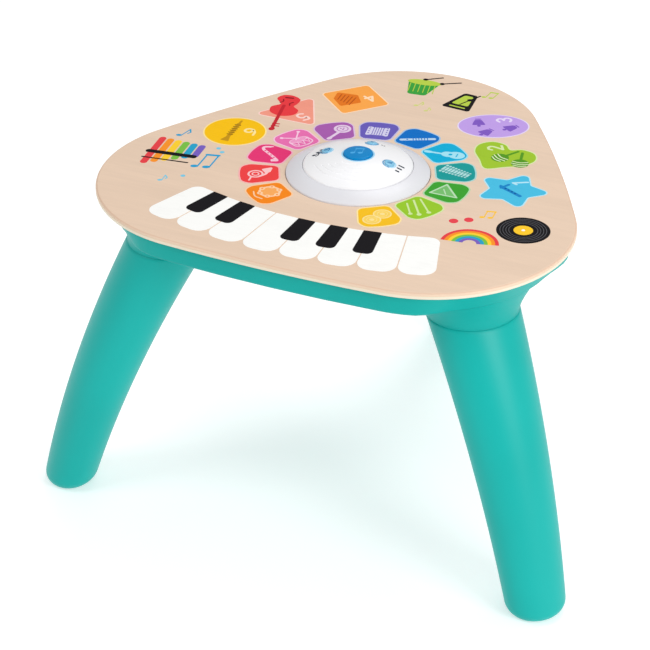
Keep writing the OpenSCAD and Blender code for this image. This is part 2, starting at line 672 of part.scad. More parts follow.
module electronics_pod() {
    inner = pod_r - pod_wall;
    color([0.14, 0.66, 0.64]) centred() difference() {
        union() {
            rotate_extrude($fn = 128) polygon([
                [0, pod_floor], [pod_r - 2.2, pod_floor], [pod_r - 0.7, pod_floor + 0.7],
                [pod_r, pod_floor + 2.2], [pod_r, tray_floor - pod_wall],
                [pod_flange_r - 0.8, tray_floor - pod_wall], [pod_flange_r, tray_floor - pod_wall + 0.8],
                [pod_flange_r, tray_floor], [pod_r, tray_floor], [pod_r, tray_floor_top],
                [inner, tray_floor_top], [inner, pod_floor_top], [0, pod_floor_top]]);
            bay_block(pod_floor_top - 0.5, bay_roof + bay_wall, bay_wall);
            translate([bay_x, door_screw_y, pod_floor_top]) cylinder(h = 10, r = 4.5, $fn = 32);
            for (p = main_board_spots) translate([p[0], p[1], bay_roof + bay_wall - 0.5])
                cylinder(h = board_post_h + 0.5, r = 3.2, $fn = 32);
            translate([-speaker_x, 0, 0]) {
                translate([0, 0, pod_floor_top - 0.5]) cylinder(h = speaker_stand + 0.5, r = speaker_r, $fn = 64);
                for (a = speaker_screw_angles) rotate(a) translate([speaker_ear_reach, 0, pod_floor_top - 0.5])
                    cylinder(h = speaker_stand + 0.5, r = 3.4, $fn = 32);
            }
            for (s = [-1, 1]) translate([s * switch_ear_reach, power_y, pod_floor_top - 0.5]) {
                cylinder(h = switch_bed + 0.5, r = 2.4, $fn = 32);
                cylinder(h = switch_bed + 2.3, r = 1.2, $fn = 24);
            }
        }
        bay_block(pod_floor_top - cut, bay_roof, 0);
        translate([0, 0, pod_floor - cut]) linear_extrude(pod_wall + cut) door_outline(0);
        translate([bay_x, door_screw_y, pod_floor_top - cut])
            cylinder(h = cut + 7, r = screw_r + screw_gap, $fn = 24);
        for (s = [-1, 1]) translate([bay_x + s * bay_pitch / 2 - 2.3, bay_y0 - bay_wall - cut, pod_floor_top])
            cube([4.6, bay_wall + 2 * cut, 2.3]);
        for (p = battery_wire_spots) translate([p[0], p[1], bay_roof - cut])
            cylinder(h = bay_wall + 2 * cut, r = 1.3, $fn = 24);
        for (p = main_board_spots) translate([p[0], p[1], bay_roof + 0.8])
            cylinder(h = bay_wall + board_post_h, r = screw_r + screw_gap, $fn = 24);
        translate([-speaker_x, 0, 0]) {
            translate([0, 0, pod_floor_top]) cylinder(h = speaker_stand + cut, r = speaker_r - 2.5, $fn = 64);
            translate([0, 0, pod_floor - cut]) {
                cylinder(h = pod_wall + 2 * cut, r = grille_hole_r, $fn = 16);
                for (k = [1:3], i = [0:6 * k - 1]) rotate(60 * i / k) translate([grille_pitch * k, 0, 0])
                    cylinder(h = pod_wall + 2 * cut, r = grille_hole_r, $fn = 16);
            }
            for (a = speaker_screw_angles) rotate(a) translate([speaker_ear_reach, 0, pod_floor + 1])
                cylinder(h = pod_wall + speaker_stand + cut, r = screw_r + screw_gap, $fn = 24);
        }
        translate([-power_slot / 2, power_y - power_slot_w / 2, pod_floor - cut])
            cube([power_slot, power_slot_w, pod_wall + 2 * cut]);
        for (a = pod_screw_angles) rotate(a) translate([pod_screw_reach, 0, tray_floor - pod_wall - cut])
            cylinder(h = pod_wall + 2 * cut, r = screw_r + 0.2, $fn = 24);
    }
}

module battery_door() {
    finger_t = 1.7;
    color([0.14, 0.66, 0.64]) centred() difference() {
        union() {
            translate([0, 0, pod_floor]) linear_extrude(pod_wall) door_outline(-door_gap);
            for (s = [-1, 1]) translate([bay_x + s * bay_pitch / 2 - 2, 0, 0]) {
                translate([0, bay_y0 + 0.5, pod_floor_top - 0.5]) cube([4, 3, finger_t + 0.8]);
                translate([0, bay_y0 - bay_wall - 2, pod_floor_top + 0.2]) cube([4, bay_wall + 3, finger_t]);
            }
        }
        translate([bay_x, door_screw_y, pod_floor - cut]) {
            cylinder(h = pod_wall + 2 * cut, r = screw_r + 0.2, $fn = 24);
            cylinder(h = cut + 1.2, r = screw_head_r + 0.3, $fn = 32);
        }
        for (i = [-2:2]) translate([bay_x - 8, bay_y1 - 8 + 2.2 * i, pod_floor - cut]) cube([16, 1, cut + 0.6]);
    }
}

module battery_door_screw() {
    color([0.75, 0.75, 0.77]) centred() translate([bay_x, door_screw_y, pod_floor + 1.2])
        screw(pod_wall - 1.2 + 6.5);
}

// One cell with its nub towards +Y, starting at its flat end
module cell() {
    rotate([-90, 0, 0]) rotate_extrude($fn = 48) polygon([
        [0, 0], [cell_r - 0.5, 0], [cell_r, 0.5], [cell_r, cell_len - 0.5], [cell_r - 0.5, cell_len],
        [cell_nub_r, cell_len], [cell_nub_r, cell_len + cell_nub], [0, cell_len + cell_nub]]);
}
// Turns every other cell end for end
module at_cell(i) {
    translate([cell_x(i), (bay_y0 + bay_y1) / 2, cell_z]) rotate(i % 2 == 0 ? 0 : 180)
        translate([0, -bay_l / 2, 0]) children();
}
module batteries() {
    color([0.22, 0.24, 0.28]) centred() for (i = [0:cell_count - 1]) at_cell(i)
        translate([0, plate_t + spring_room, 0]) cell();
}

module battery_springs() {
    steps = 10;
    turns = 3;
    wire = 0.5;
    color([0.80, 0.80, 0.82]) centred() for (i = [0:cell_count - 1]) at_cell(i)
        loft([for (k = [0:steps * turns])
            let (a = 360 * k / steps, r = 4.2 - 1.2 * k / (steps * turns),
                 y = plate_t + wire + (spring_room - 2 * wire) * k / (steps * turns))
            [for (p = ellipse_points(wire, wire, 6)) [(r + p[0]) * cos(a), y + p[1], (r + p[0]) * sin(a)]]]);
}

module contact_plate(i, j, y) {
    translate([cell_x(i) - plate_half_w, y, cell_z - plate_half_h])
        cube([cell_x(j) - cell_x(i) + 2 * plate_half_w, plate_t, 2 * plate_half_h]);
}
module battery_plates() {
    last = cell_count - 1;
    color([0.80, 0.80, 0.82]) centred() {
        contact_plate(0, 0, bay_y0);
        contact_plate(min(1, last), last, bay_y0);
        contact_plate(0, max(0, last - 1), bay_y1 - plate_t);
        contact_plate(last, last, bay_y1 - plate_t);
    }
}

module at_speaker() {
    translate([-speaker_x, 0, pod_floor_top + speaker_stand]) children();
}
module speaker_frame() {
    color([0.35, 0.36, 0.38]) centred() at_speaker() difference() {
        union() {
            rotate_extrude($fn = 64) polygon([
                [speaker_r - 2.2, 0], [speaker_r, 0], [speaker_r, speaker_flange_t],
                [speaker_r - 3, speaker_flange_t], [magnet_r + 1, basket_h], [4, basket_h],
                [4, basket_h - 1], [magnet_r + 0.4, basket_h - 1], [speaker_r - 3.6, speaker_flange_t - 0.8],
                [speaker_r - 2.2, 1.2]]);
            for (a = speaker_screw_angles) rotate(a) translate([speaker_ear_reach, 0, 0])
                cylinder(h = speaker_ear_t, r = 3.4, $fn = 32);
        }
        for (a = speaker_screw_angles) rotate(a) translate([speaker_ear_reach, 0, -cut])
            cylinder(h = speaker_ear_t + 2 * cut, r = screw_r + 0.15, $fn = 24);
        for (a = [0:90:270]) rotate(a) translate([magnet_r + 2.5, -5, 4]) cube([speaker_r, 10, basket_h - 6]);
    }
}
module speaker_cone() {
    color([0.14, 0.14, 0.15]) centred() at_speaker() rotate_extrude($fn = 64) polygon([
        [0, 3.6], [4, 4.2], [7, 6], [8, 6], [speaker_r - 7, 1.6], [speaker_r - 5.6, 0.5],
        [speaker_r - 4.4, 0.5], [speaker_r - 3.2, 1.2], [speaker_r - 2.4, 1.2], [speaker_r - 2.4, 0.7],
        [speaker_r - 3, 0.7], [speaker_r - 4.2, 0], [speaker_r - 5.8, 0], [speaker_r - 7.4, 1],
        [8, 5.2], [7, 5], [4, 3.4], [0, 2.9]]);
}
module speaker_magnet() {
    color([0.50, 0.50, 0.53]) centred() at_speaker() {
        translate([0, 0, basket_h]) cylinder(h = 5, r = magnet_r, $fn = 64);
        translate([0, 0, basket_h + 4.5]) cylinder(h = 1.5, r = magnet_r - 2, $fn = 64);
    }
}
module speaker_screws() {
    color([0.75, 0.75, 0.77]) centred() at_speaker() for (a = speaker_screw_angles) rotate(a)
        translate([speaker_ear_reach, 0, speaker_ear_t]) rotate([180, 0, 0])
            screw(speaker_ear_t + speaker_stand + 1);
}

module main_board() {
    color([0.10, 0.42, 0.24]) centred() difference() {
        translate([bay_x - main_board_w / 2, main_board_y - main_board_l / 2, main_board_z])
            cube([main_board_w, main_board_l, board_t]);
        for (p = main_board_spots) translate([p[0], p[1], main_board_z - cut])
            cylinder(h = board_t + 2 * cut, r = screw_r + 0.15, $fn = 24);
    }
}
module main_board_parts() {
    z = main_board_z + board_t;
    color([0.12, 0.12, 0.13]) centred() {
        translate([bay_x - 3, main_board_y - 4, z]) cube([13, 13, 1.6]);
        translate([bay_x + 12, main_board_y + 10, z]) cube([6, 9, 1.4]);
        for (i = [0:2]) translate([bay_x - 2 + 8 * i, main_board_y + 22, z]) cylinder(h = 5, r = 2.6, $fn = 32);
        translate([bay_x + 10, main_board_y - 18, z]) cube([6, 4, 2]);
        translate([bay_x - 15, main_board_y + 12, z]) cube([8, 4, 2.5]);
    }
}
module main_board_screws() {
    color([0.75, 0.75, 0.77]) centred() for (p = main_board_spots)
        translate([p[0], p[1], main_board_z + board_t]) rotate([180, 0, 0]) screw(board_t + board_post_h + 1.4);
}

module power_switch_body() {
    z = pod_floor_top + switch_bed;
    color([0.12, 0.12, 0.13]) centred() translate([0, power_y, z]) difference() {
        union() {
            translate([-11, -4, 0]) cube([22, 8, 6]);
            translate([-switch_ear_reach - 3, -4, 0]) cube([2 * switch_ear_reach + 6, 8, 1.2]);
        }
        for (s = [-1, 1]) translate([s * switch_ear_reach, 0, -cut]) cylinder(h = 3, r = 1.25, $fn = 24);
        translate([-power_slot / 2, -1.5, -cut]) cube([power_slot, 3, cut + 3.4]);
    }
}
module power_slider() {
    color([0.97, 0.97, 0.96]) centred() translate([-power_travel / 2, power_y, 0]) {
        translate([-5.5, -power_knob_w / 2, pod_floor - seat - 2]) cube([11, power_knob_w, 2]);
        for (i = [-1:1]) translate([2.6 * i - 0.5, -power_knob_w / 2, pod_floor - seat - 2.6])
            cube([1, power_knob_w, 1]);
        translate([-power_stem / 2, -power_slot_w / 2 + seat, pod_floor - seat - 0.5])
            cube([power_stem, power_slot_w - 2 * seat, pod_wall + 2 * seat + 1]);
        translate([-4.5, -3.2, pod_floor_top + seat]) cube([9, 6.4, 1.2]);
        translate([-1.5, -1.1, pod_floor_top + seat + 0.5]) cube([3, 2.2, switch_bed - seat + 2.4]);
    }
}

module tray_screws() {
    color([0.75, 0.75, 0.77]) centred() for (p = tray_screw_spots)
        translate([p[0], p[1], tray_floor + tray_screw_sink])
            screw(tray_depth - tray_screw_sink + tray_screw_bite);
}
module pod_screws() {
    color([0.75, 0.75, 0.77]) centred() for (a = pod_screw_angles) rotate(a)
        translate([pod_screw_reach, 0, tray_floor - pod_wall]) screw(pod_wall + 6.5);
}

module speaker_wires() {
    base = pod_floor_top + speaker_stand;
    board = main_board_z + board_t + wire_r - base;
    color([0.75, 0.16, 0.14]) centred() for (s = [-1, 1])
        strand([-speaker_x + 19.2, 6 * s, base], 0,
               [[0, 6.9], [1.4, 8.4], [6, 12], [20, board + 2], [30, board + 0.8], [34, board]],
               ellipse_points(wire_r, wire_r, 8));
}
module battery_wires() {
    color([0.14, 0.14, 0.15]) centred() for (p = battery_wire_spots)
        translate([p[0], p[1], cell_z + 4.8]) cylinder(h = main_board_z - cell_z - 4.8, r = 0.6, $fn = 24);
}
module switch_wires() {
    top = pod_floor_top + switch_bed + 6;
    board = main_board_z + board_t + wire_r;
    color([0.14, 0.14, 0.15]) centred() for (s = [-1, 1])
        strand([2 * s, power_y, 0], 48,
               [[0, top], [0, top + 3], [8, top + 9], [25, board + 3], [35, board + 0.8], [41, board]],
               ellipse_points(wire_r, wire_r, 8));
}
module film_ribbon() {
    board = main_board_z + board_t;
    color([0.85, 0.62, 0.25]) centred() strand([bay_x, main_board_y, 0], 0,
        [[14, board + 0.2], [20, board + 0.2], [26, board + 1.6], [46, board + 3.5], [54, under_top - 2],
         [58, under_top - film_t - 0.2], [66, under_top - film_t - 0.2]],
        flat_section(14, 0.4));
}
module dome_ribbon() {
    board = main_board_z + board_t;
    color([0.85, 0.62, 0.25]) centred() strand([bay_x, main_board_y - 14, 0], 180,
        [[4, board + 0.2], [10, board + 0.2], [14, board + 1.5], [18, board + 6],
         [21, top_h + dome_board_z - 1.2], [25, top_h + dome_board_z - 0.2],
         [31, top_h + dome_board_z - 0.2]],
        flat_section(10, 0.4));
}

top_panel();
touch_film();
base_tray();
leg_sockets();
leg_left();
leg_right();
leg_back();
foot_pads();
light_ring();
dome_cover();
main_button();
left_button();
right_button();
rear_button();
dome_board();
button_switches();
dome_lamps();
dome_board_screws();
ring_screws();
electronics_pod();
battery_door();
battery_door_screw();
batteries();
battery_springs();
battery_plates();
speaker_frame();
speaker_cone();
speaker_magnet();
speaker_screws();
main_board();
main_board_parts();
main_board_screws();
power_switch_body();
power_slider();
tray_screws();
pod_screws();
speaker_wires();
battery_wires();
switch_wires();
film_ribbon();
dome_ribbon();
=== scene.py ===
import math
from functools import lru_cache

import bmesh
import bpy
import numpy as np
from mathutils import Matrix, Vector


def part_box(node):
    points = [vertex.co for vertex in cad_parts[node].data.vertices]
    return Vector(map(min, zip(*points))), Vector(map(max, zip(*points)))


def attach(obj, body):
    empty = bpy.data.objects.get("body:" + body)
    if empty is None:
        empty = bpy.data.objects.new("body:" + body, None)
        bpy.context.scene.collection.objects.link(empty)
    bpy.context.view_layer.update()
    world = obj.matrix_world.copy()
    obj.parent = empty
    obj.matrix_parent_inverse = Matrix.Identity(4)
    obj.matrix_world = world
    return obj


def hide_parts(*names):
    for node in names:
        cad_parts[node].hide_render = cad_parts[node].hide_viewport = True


"""Dresses a toddler's musical activity table: a birch play top with printed keys, shapes and
pictures, a light dome with push buttons, a teal tray and three bowed legs.

The frame gives the sizes; every surface here is worked out from them, in metres."""

bl_info = {
    "name": "Musical activity table",
    "version": (1, 0, 0),
    "blender": (4, 5, 0),
    "location": "View3D > Sidebar > Activity Table",
    "description": "Builds the finishes and smooth surfaces of a three-legged musical activity table",
    "category": "Object",
}

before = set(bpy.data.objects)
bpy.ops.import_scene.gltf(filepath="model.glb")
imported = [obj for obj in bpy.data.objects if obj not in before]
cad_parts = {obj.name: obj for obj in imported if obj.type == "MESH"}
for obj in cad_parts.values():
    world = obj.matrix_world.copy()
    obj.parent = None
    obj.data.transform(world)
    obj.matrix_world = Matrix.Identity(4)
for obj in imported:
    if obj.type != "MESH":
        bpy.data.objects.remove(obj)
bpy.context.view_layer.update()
MM = 0.001


# ---- where things are
def box(node):
    low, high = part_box(node)
    return np.array(low), np.array(high)


RING_LOW, RING_HIGH = box("light_ring")
TOP_LOW, TOP_HIGH = box("top_panel")
DOME = np.array([(RING_LOW[0] + RING_HIGH[0]) / 2, (RING_LOW[1] + RING_HIGH[1]) / 2])
MIDDLE = DOME - np.array([0, 3 * MM])
TOP_Z = TOP_HIGH[2]
UNDER_Z = TOP_LOW[2]
FACE_PLY_Z = UNDER_Z + 3.2 * MM
HOLE_R = 70.4 * MM


def heading(degrees):
    """The cosine and sine of an angle in degrees."""
    return math.cos(math.radians(degrees)), math.sin(math.radians(degrees))


def full_turn(steps):
    """Angles evenly round a circle, the last one a step short of the first."""
    return np.linspace(0, 2 * np.pi, steps, endpoint=False)


# ---- sizes and colours
def size_prop(name, default, text, **kind):
    """A number, which is a length in metres unless its kind says otherwise."""
    kind = kind or {"unit": "LENGTH", "precision": 5}
    return bpy.props.FloatProperty(name=name, default=default, description=text, **kind)


def paint_prop(name, srgb, text):
    return bpy.props.FloatVectorProperty(name=name, subtype="COLOR", size=3, min=0, max=1,
                                         default=[linear(c) for c in srgb], description=text)


def linear(byte):
    """The linear value of one 0 to 255 screen colour channel."""
    c = byte / 255
    return c / 12.92 if c <= 0.04045 else ((c + 0.055) / 1.055) ** 2.4


class TableSizes(bpy.types.PropertyGroup):
    side_mid: size_prop("Middle to side", 0.198, "Table's middle to the middle of a side")
    corner_r: size_prop("Corner radius", 0.138, "Radius of the play top's corners")
    side_r: size_prop("Side radius", 1.6, "Radius of the play top's bowed sides")
    edge_round: size_prop("Edge round", 0.0025, "Round on the play top's upper edge")
    ink: size_prop("Print thickness", 0.00008, "Height of one layer of print above the wood")


class TableColours(bpy.types.PropertyGroup):
    wood: paint_prop("Wood", (230, 203, 179), "Varnished birch of the play top")
    leg: paint_prop("Legs", (0, 169, 162), "Moulded legs")
    tray: paint_prop("Tray", (8, 161, 154), "Moulded tray and sockets")
    ring: paint_prop("Light ring", (221, 221, 226), "Frosted light ring")
    dome: paint_prop("Dome", (243, 243, 245), "White dome cover")
    button: paint_prop("Main button", (0, 130, 196), "Big push button")
    small_button: paint_prop("Small buttons", (124, 190, 222), "Small push buttons")


def sizes():
    return bpy.context.scene.table_sizes


def colours():
    return bpy.context.scene.table_colours


# ---- shader maths
class Channel:
    """One value in a finish, so that a pattern reads as a plain sum."""

    def __init__(self, finish, socket):
        self.finish = finish
        self.socket = socket

    def _maths(self, operation, *values):
        return self.finish.node("ShaderNodeMath", dict(enumerate(values)), operation=operation)

    def __add__(self, other):
        return self._maths("ADD", self, other)

    __radd__ = __add__

    def __sub__(self, other):
        return self._maths("SUBTRACT", self, other)

    def __rsub__(self, other):
        return self._maths("SUBTRACT", other, self)

    def __mul__(self, other):
        return self._maths("MULTIPLY", self, other)

    __rmul__ = __mul__

    def between(self, low, high):
        """0 below low, 1 above high, and a smooth ramp from one to the other."""
        return self.finish.node("ShaderNodeMapRange", {
            "Value": self, "From Min": low, "From Max": high}, interpolation_type="SMOOTHSTEP")


class Finish:
    """A material that is written as a pattern on the piece's own coordinates."""

    def __init__(self, name, **shader):
        self.material = bpy.data.materials.new(name)
        self.material.use_nodes = True
        self.tree = self.material.node_tree
        self.shader = self.tree.nodes["Principled BSDF"]
        for socket, value in shader.items():
            self.set(socket.replace("_", " "), value)

    def node(self, kind, values=None, out=0, **settings):
        """Any other node: its inputs by name or number, one of its outputs and its settings."""
        made = self.tree.nodes.new(kind)
        for key, value in settings.items():
            setattr(made, key, value)
        for key, value in (values or {}).items():
            self._feed(made.inputs[key], value)
        return Channel(self, made.outputs[out])

    def _feed(self, socket, value):
        if isinstance(value, Channel):
            self.tree.links.new(value.socket, socket)
        elif socket.type == "RGBA":
            socket.default_value = (*value, 1) if len(value) == 3 else value
        else:
            socket.default_value = value

    def set(self, socket, value):
        self._feed(self.shader.inputs[socket], value)

    def place(self, scale=(1, 1, 1), shift=(0, 0, 0)):
        """The piece's own coordinates in metres, stretched and moved."""
        here = self.node("ShaderNodeTexCoord", out=3)
        return self.node("ShaderNodeMapping", {"Vector": here, "Scale": scale, "Location": shift})

    def axis(self, number, at):
        return self.node("ShaderNodeSeparateXYZ", {0: at}, out=number)

    def noise(self, scale, detail=2.0, rough=0.5, at=None, distortion=0.0):
        return self.node("ShaderNodeTexNoise", {
            "Vector": at or self.place(), "Scale": scale, "Detail": detail, "Roughness": rough,
            "Distortion": distortion})

    def mix(self, share, low, high):
        return self.node("ShaderNodeMix", {0: share, 6: low, 7: high}, out=2, data_type="RGBA")

    def bump(self, height, strength, distance=0.0002):
        self.set("Normal", self.node("ShaderNodeBump", {
            "Height": height, "Strength": strength, "Distance": distance}))


def shade(colour, factor):
    return tuple(min(1.0, c * factor) for c in colour)


@lru_cache(maxsize=None)
def finish(name):
    """The named finish, made the first time it is asked for."""
    if name in OTHER:
        return OTHER[name]().material
    title, colour, *rest = MOULDED[name]
    if isinstance(colour, str):
        colour = tuple(getattr(colours(), colour))
    return moulded(title, colour, *rest).material


def birch():
    """Varnished birch: fine long fibres along X, slow figure, small pores and a satin coat."""
    wood = tuple(colours().wood)
    f = Finish("varnished birch", Coat_Weight=0.03, Coat_Roughness=0.35, Specular_IOR_Level=0.2)
    fibres = f.noise(1.0, 4, 0.6, f.place((16, 300, 60)))
    figure = f.noise(1.0, 3, 0.55, f.place((5, 30, 8), shift=(0.3, 0.1, 0)), distortion=0.6)
    pores = f.noise(1.0, 2, 0.5, f.place((90, 1500, 300)))
    tone = fibres * 0.45 + figure * 0.55
    base = f.mix(tone.between(0.3, 0.7), shade(wood, 0.95), shade(wood, 1.03))
    base = f.mix(pores.between(0.62, 0.75) * 0.35, base, shade(wood, 0.78))
    upright = f.axis(2, f.node("ShaderNodeNewGeometry", out=1))
    # painted shade: a darker, warmer band where the rounded edge turns down from the top, chosen by the
    # surface's tilt
    painted_edge_shade = upright.between(0.55, 0.9) * (1 - upright.between(0.93, 0.999))
    base = f.mix(painted_edge_shade * 0.55, base, shade((wood[0], wood[1] * 0.86, wood[2] * 0.8), 0.86))
    plies = f.axis(2, f.place()).between(FACE_PLY_Z - 0.4 * MM, FACE_PLY_Z)
    cut = f.mix(plies, (0.76, 0.68, 0.54), (0.74, 0.57, 0.42))
    f.set("Base Color", f.mix(1 - upright.between(0.15, 0.6), base, cut))
    f.set("Roughness", fibres * 0.12 + 0.36)
    f.bump(fibres * 0.6 + pores * 0.4, 0.12, 0.0001)
    return f


def moulded(name, colour, rough, grain, depth, shine=0.45, coat=0.0):
    """Moulded plastic: a fine spark-eroded grain and a slow, slight change of tone."""
    f = Finish(name, Coat_Weight=coat, Coat_Roughness=0.15, Specular_IOR_Level=shine)
    slow = f.noise(9, 2)
    fine = f.noise(grain, 2)
    f.set("Base Color", f.mix(slow.between(0.3, 0.7), shade(colour, 0.965), shade(colour, 1.03)))
    f.set("Roughness", slow * 0.08 + fine * 0.05 + (rough - 0.06))
    f.bump(fine, depth, 0.00006)
    return f


def printed():
    """Screen print on wood: each shape's own tint, a little uneven over the fibres."""
    f = Finish("screen print", Coat_Weight=0.0, Specular_IOR_Level=0.04)
    tint = f.node("ShaderNodeAttribute", attribute_name="tint")
    cover = f.noise(1.0, 3, 0.6, f.place((60, 500, 60)))
    wash = f.noise(45, 3, 0.6)
    share = cover.between(0.45, 0.8) * 0.035 + wash.between(0.45, 0.75) * 0.025
    f.set("Base Color", f.mix(share, tint, (0.02, 0.018, 0.015)))
    f.set("Roughness", cover * 0.12 + 0.42)
    f.bump(cover, 0.1, 0.0001)
    return f


def metal(name, colour, rough):
    """Plated steel: fine turning marks and slight dulling."""
    f = Finish(name, Metallic=1.0)
    marks = f.noise(1.0, 3, 0.6, f.place((4000, 4000, 300)))
    dull = f.noise(180, 3)
    f.set("Base Color", f.mix(dull.between(0.35, 0.7), shade(colour, 0.86), colour))
    f.set("Roughness", marks * 0.12 + dull * 0.1 + (rough - 0.1))
    f.bump(marks, 0.08, 0.00005)
    return f


def board():
    """Circuit board: solder mask over faint copper tracks."""
    f = Finish("circuit board", Coat_Weight=0.3, Coat_Roughness=0.2)
    tracks = f.node("ShaderNodeTexBrick", {
        "Vector": f.place(), "Scale": 130.0, "Mortar Size": 0.09, "Brick Width": 0.9,
        "Row Height": 0.35}, out=1, offset=0.37)
    f.set("Base Color", f.mix(tracks, (0.012, 0.12, 0.05), (0.03, 0.22, 0.09)))
    f.set("Roughness", tracks * 0.1 + 0.38)
    f.bump(tracks, 0.2, 0.0001)
    return f


# Each row: name, colour or its property, roughness, grain per metre and its depth, gloss, clear coat.
MOULDED = {
    "leg": ("leg plastic", "leg", 0.4, 1500, 0.12, 0.24),
    "tray": ("tray plastic", "tray", 0.42, 1500, 0.12, 0.14),
    "ring": ("frosted ring", "ring", 0.32, 1800, 0.08),
    "dome": ("dome plastic", "dome", 0.28, 2200, 0.04),
    "button": ("button plastic", "button", 0.3, 2200, 0.04, 0.12),
    "small_button": ("small button plastic", "small_button", 0.25, 2200, 0.04),
    "rubber": ("foot rubber", (0.04, 0.043, 0.046), 0.75, 1800, 0.3),
    "dark": ("dark plastic", (0.018, 0.018, 0.02), 0.45, 1800, 0.15),
    "cone": ("cone paper", (0.016, 0.016, 0.018), 0.85, 900, 0.5),
    "lamp": ("lamp resin", (0.85, 0.80, 0.52), 0.2, 2500, 0.03, 0.45, 0.4),
    "cell": ("cell jacket", (0.04, 0.045, 0.07), 0.3, 2500, 0.02, 0.45, 0.3),
    "film": ("sensing film", (0.55, 0.30, 0.06), 0.3, 1200, 0.05, 0.45, 0.3),
    "red_wire": ("red insulation", (0.5, 0.02, 0.018), 0.4, 2500, 0.05),
    "black_wire": ("black insulation", (0.02, 0.02, 0.022), 0.4, 2500, 0.05),
}
OTHER = {
    "birch": birch,
    "print": printed,
    "board": board,
    "pod": lambda: moulded("pod plastic", shade(tuple(colours().tray), 0.85), 0.5, 1100, 0.25, 0.14),
    "steel": lambda: metal("plated steel", (0.56, 0.57, 0.58), 0.32),
    "iron": lambda: metal("speaker steel", (0.22, 0.22, 0.24), 0.45),
}


def linked(name, data):
    thing = bpy.data.objects.new(name, data)
    bpy.context.collection.objects.link(thing)
    return thing


def finished(piece, finish_name, body="table"):
    """Give a piece its finish and material slot, and let it ride on its body."""
    piece.data.materials.append(finish(finish_name))
    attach(piece, body)


def smooth(mesh, sharp):
    """Smooth shading, with hard edges where two faces meet at more than sharp degrees."""
    mesh.polygons.foreach_set("use_smooth", [True] * len(mesh.polygons))
    mesh.set_sharp_from_angle(angle=math.radians(sharp))


def add_piece(name, points, faces, finish_name, body, sharp=None):
    """A mesh in the row frame from arrays of points and faces, flat where sharp isn't given."""
    mesh = bpy.data.meshes.new(name)
    mesh.from_pydata(np.asarray(points, float).reshape(-1, 3).tolist(), [], faces)
    mesh.update()
    piece = linked(name, mesh)
    if sharp is not None:
        smooth(mesh, sharp)
    finished(piece, finish_name, body)
    return piece


def grid_faces(rows, around, close_rows=False):
    """Quads between neighbouring rows of a grid whose rows close on themselves."""
    k = np.arange(rows if close_rows else rows - 1)[:, None]
    i = np.arange(around)[None, :]
    here, there = k * around, (k + 1) % rows * around
    nxt = (i + 1) % around
    return np.stack([here + i, here + nxt, there + nxt, there + i], -1).reshape(-1, 4)


def skin(name, rings, finish_name, sharp, close_rows=True):
    """Rings of points from low to high, each running anticlockwise seen from above, as one closed
    skin: the rings either meet again at the end or are shut by a face at each end."""
    rows, around = rings.shape[:2]
    faces = grid_faces(rows, around, close_rows).tolist()
    if not close_rows:
        faces.append(list(range(around))[::-1])
        faces.append([(rows - 1) * around + i for i in range(around)])
    return add_piece(name, rings, faces, finish_name, "table", sharp)


def lathe(profile, around, centre=(0, 0)):
    """A ring of points round an upright axis for each [radius, height] of a profile: radius times
    cosine, radius times sine and height over evenly spaced angles."""
    a = full_turn(around)
    return np.array([lift(polar(r, a, centre), z) for r, z in profile])


def turned(name, profile, centre, finish_name, body, around, tilt=np.eye(3)):
    """A profile of [radius, height] from one point on an upright axis to another, turned about that
    axis and then tilted. The rows at its two ends each become one point."""
    points = (lathe(profile, around) @ tilt.T + np.array(centre)).reshape(-1, 3)
    keep = np.arange(len(points))
    keep[:around] = 0
    keep[-around:] = len(points) - around
    used, place = np.unique(keep, return_inverse=True)
    faces = place[grid_faces(len(profile), around)].tolist()
    faces = [list(dict.fromkeys(face)) for face in faces]
    return add_piece(name, points[used], faces, finish_name, body, 35)


def smoothed_copy(node, name, finish_name):
    """A CAD node's own shape with its facets merged and shaded as one smooth skin."""
    mesh = bpy.data.meshes.new(name)
    work = bmesh.new()
    work.from_mesh(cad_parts[node].data)
    bmesh.ops.remove_doubles(work, verts=work.verts, dist=1e-6)
    work.to_mesh(mesh)
    work.free()
    piece = linked(name, mesh)
    mesh.materials.clear()
    smooth(mesh, 32)
    weigh = piece.modifiers.new("even shading", "WEIGHTED_NORMAL")
    weigh.keep_sharp = True
    finished(piece, finish_name)
    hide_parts(node)


# ---- the table's outline
def outline_radius(theta, inset=0.0):
    """Distance from the middle to the edge in direction theta: the corner's arc near a corner, and
    the long arc of the side beyond the point where the two arcs touch."""
    s = sizes()
    back = s.side_r - s.side_mid
    reach = (-back + math.sqrt(4 * (s.side_r - s.corner_r) ** 2 - 3 * back ** 2)) / 2
    third = math.pi / 3
    half = math.atan2(reach + back / 2, back * math.cos(third / 2)) - third / 2
    off = np.abs((theta - third / 2) % (2 * third) - third)
    rc, rs = s.corner_r - inset, s.side_r - inset
    corner = reach * np.cos(off) + np.sqrt(np.maximum(rc ** 2 - (reach * np.sin(off)) ** 2, 0))
    side = third - off
    long_arc = -back * np.cos(side) + np.sqrt(rs ** 2 - (back * np.sin(side)) ** 2)
    touch = math.atan2(s.side_r * math.sin(half), s.side_r * math.cos(half) - back)
    return np.where(side > touch, corner, long_arc)


def polar(radius, theta, centre=(0, 0)):
    return np.stack([radius * np.cos(theta) + centre[0], radius * np.sin(theta) + centre[1]], -1)


def lift(flat, z):
    return np.concatenate([flat, np.broadcast_to(z, flat.shape[:-1])[..., None]], -1)


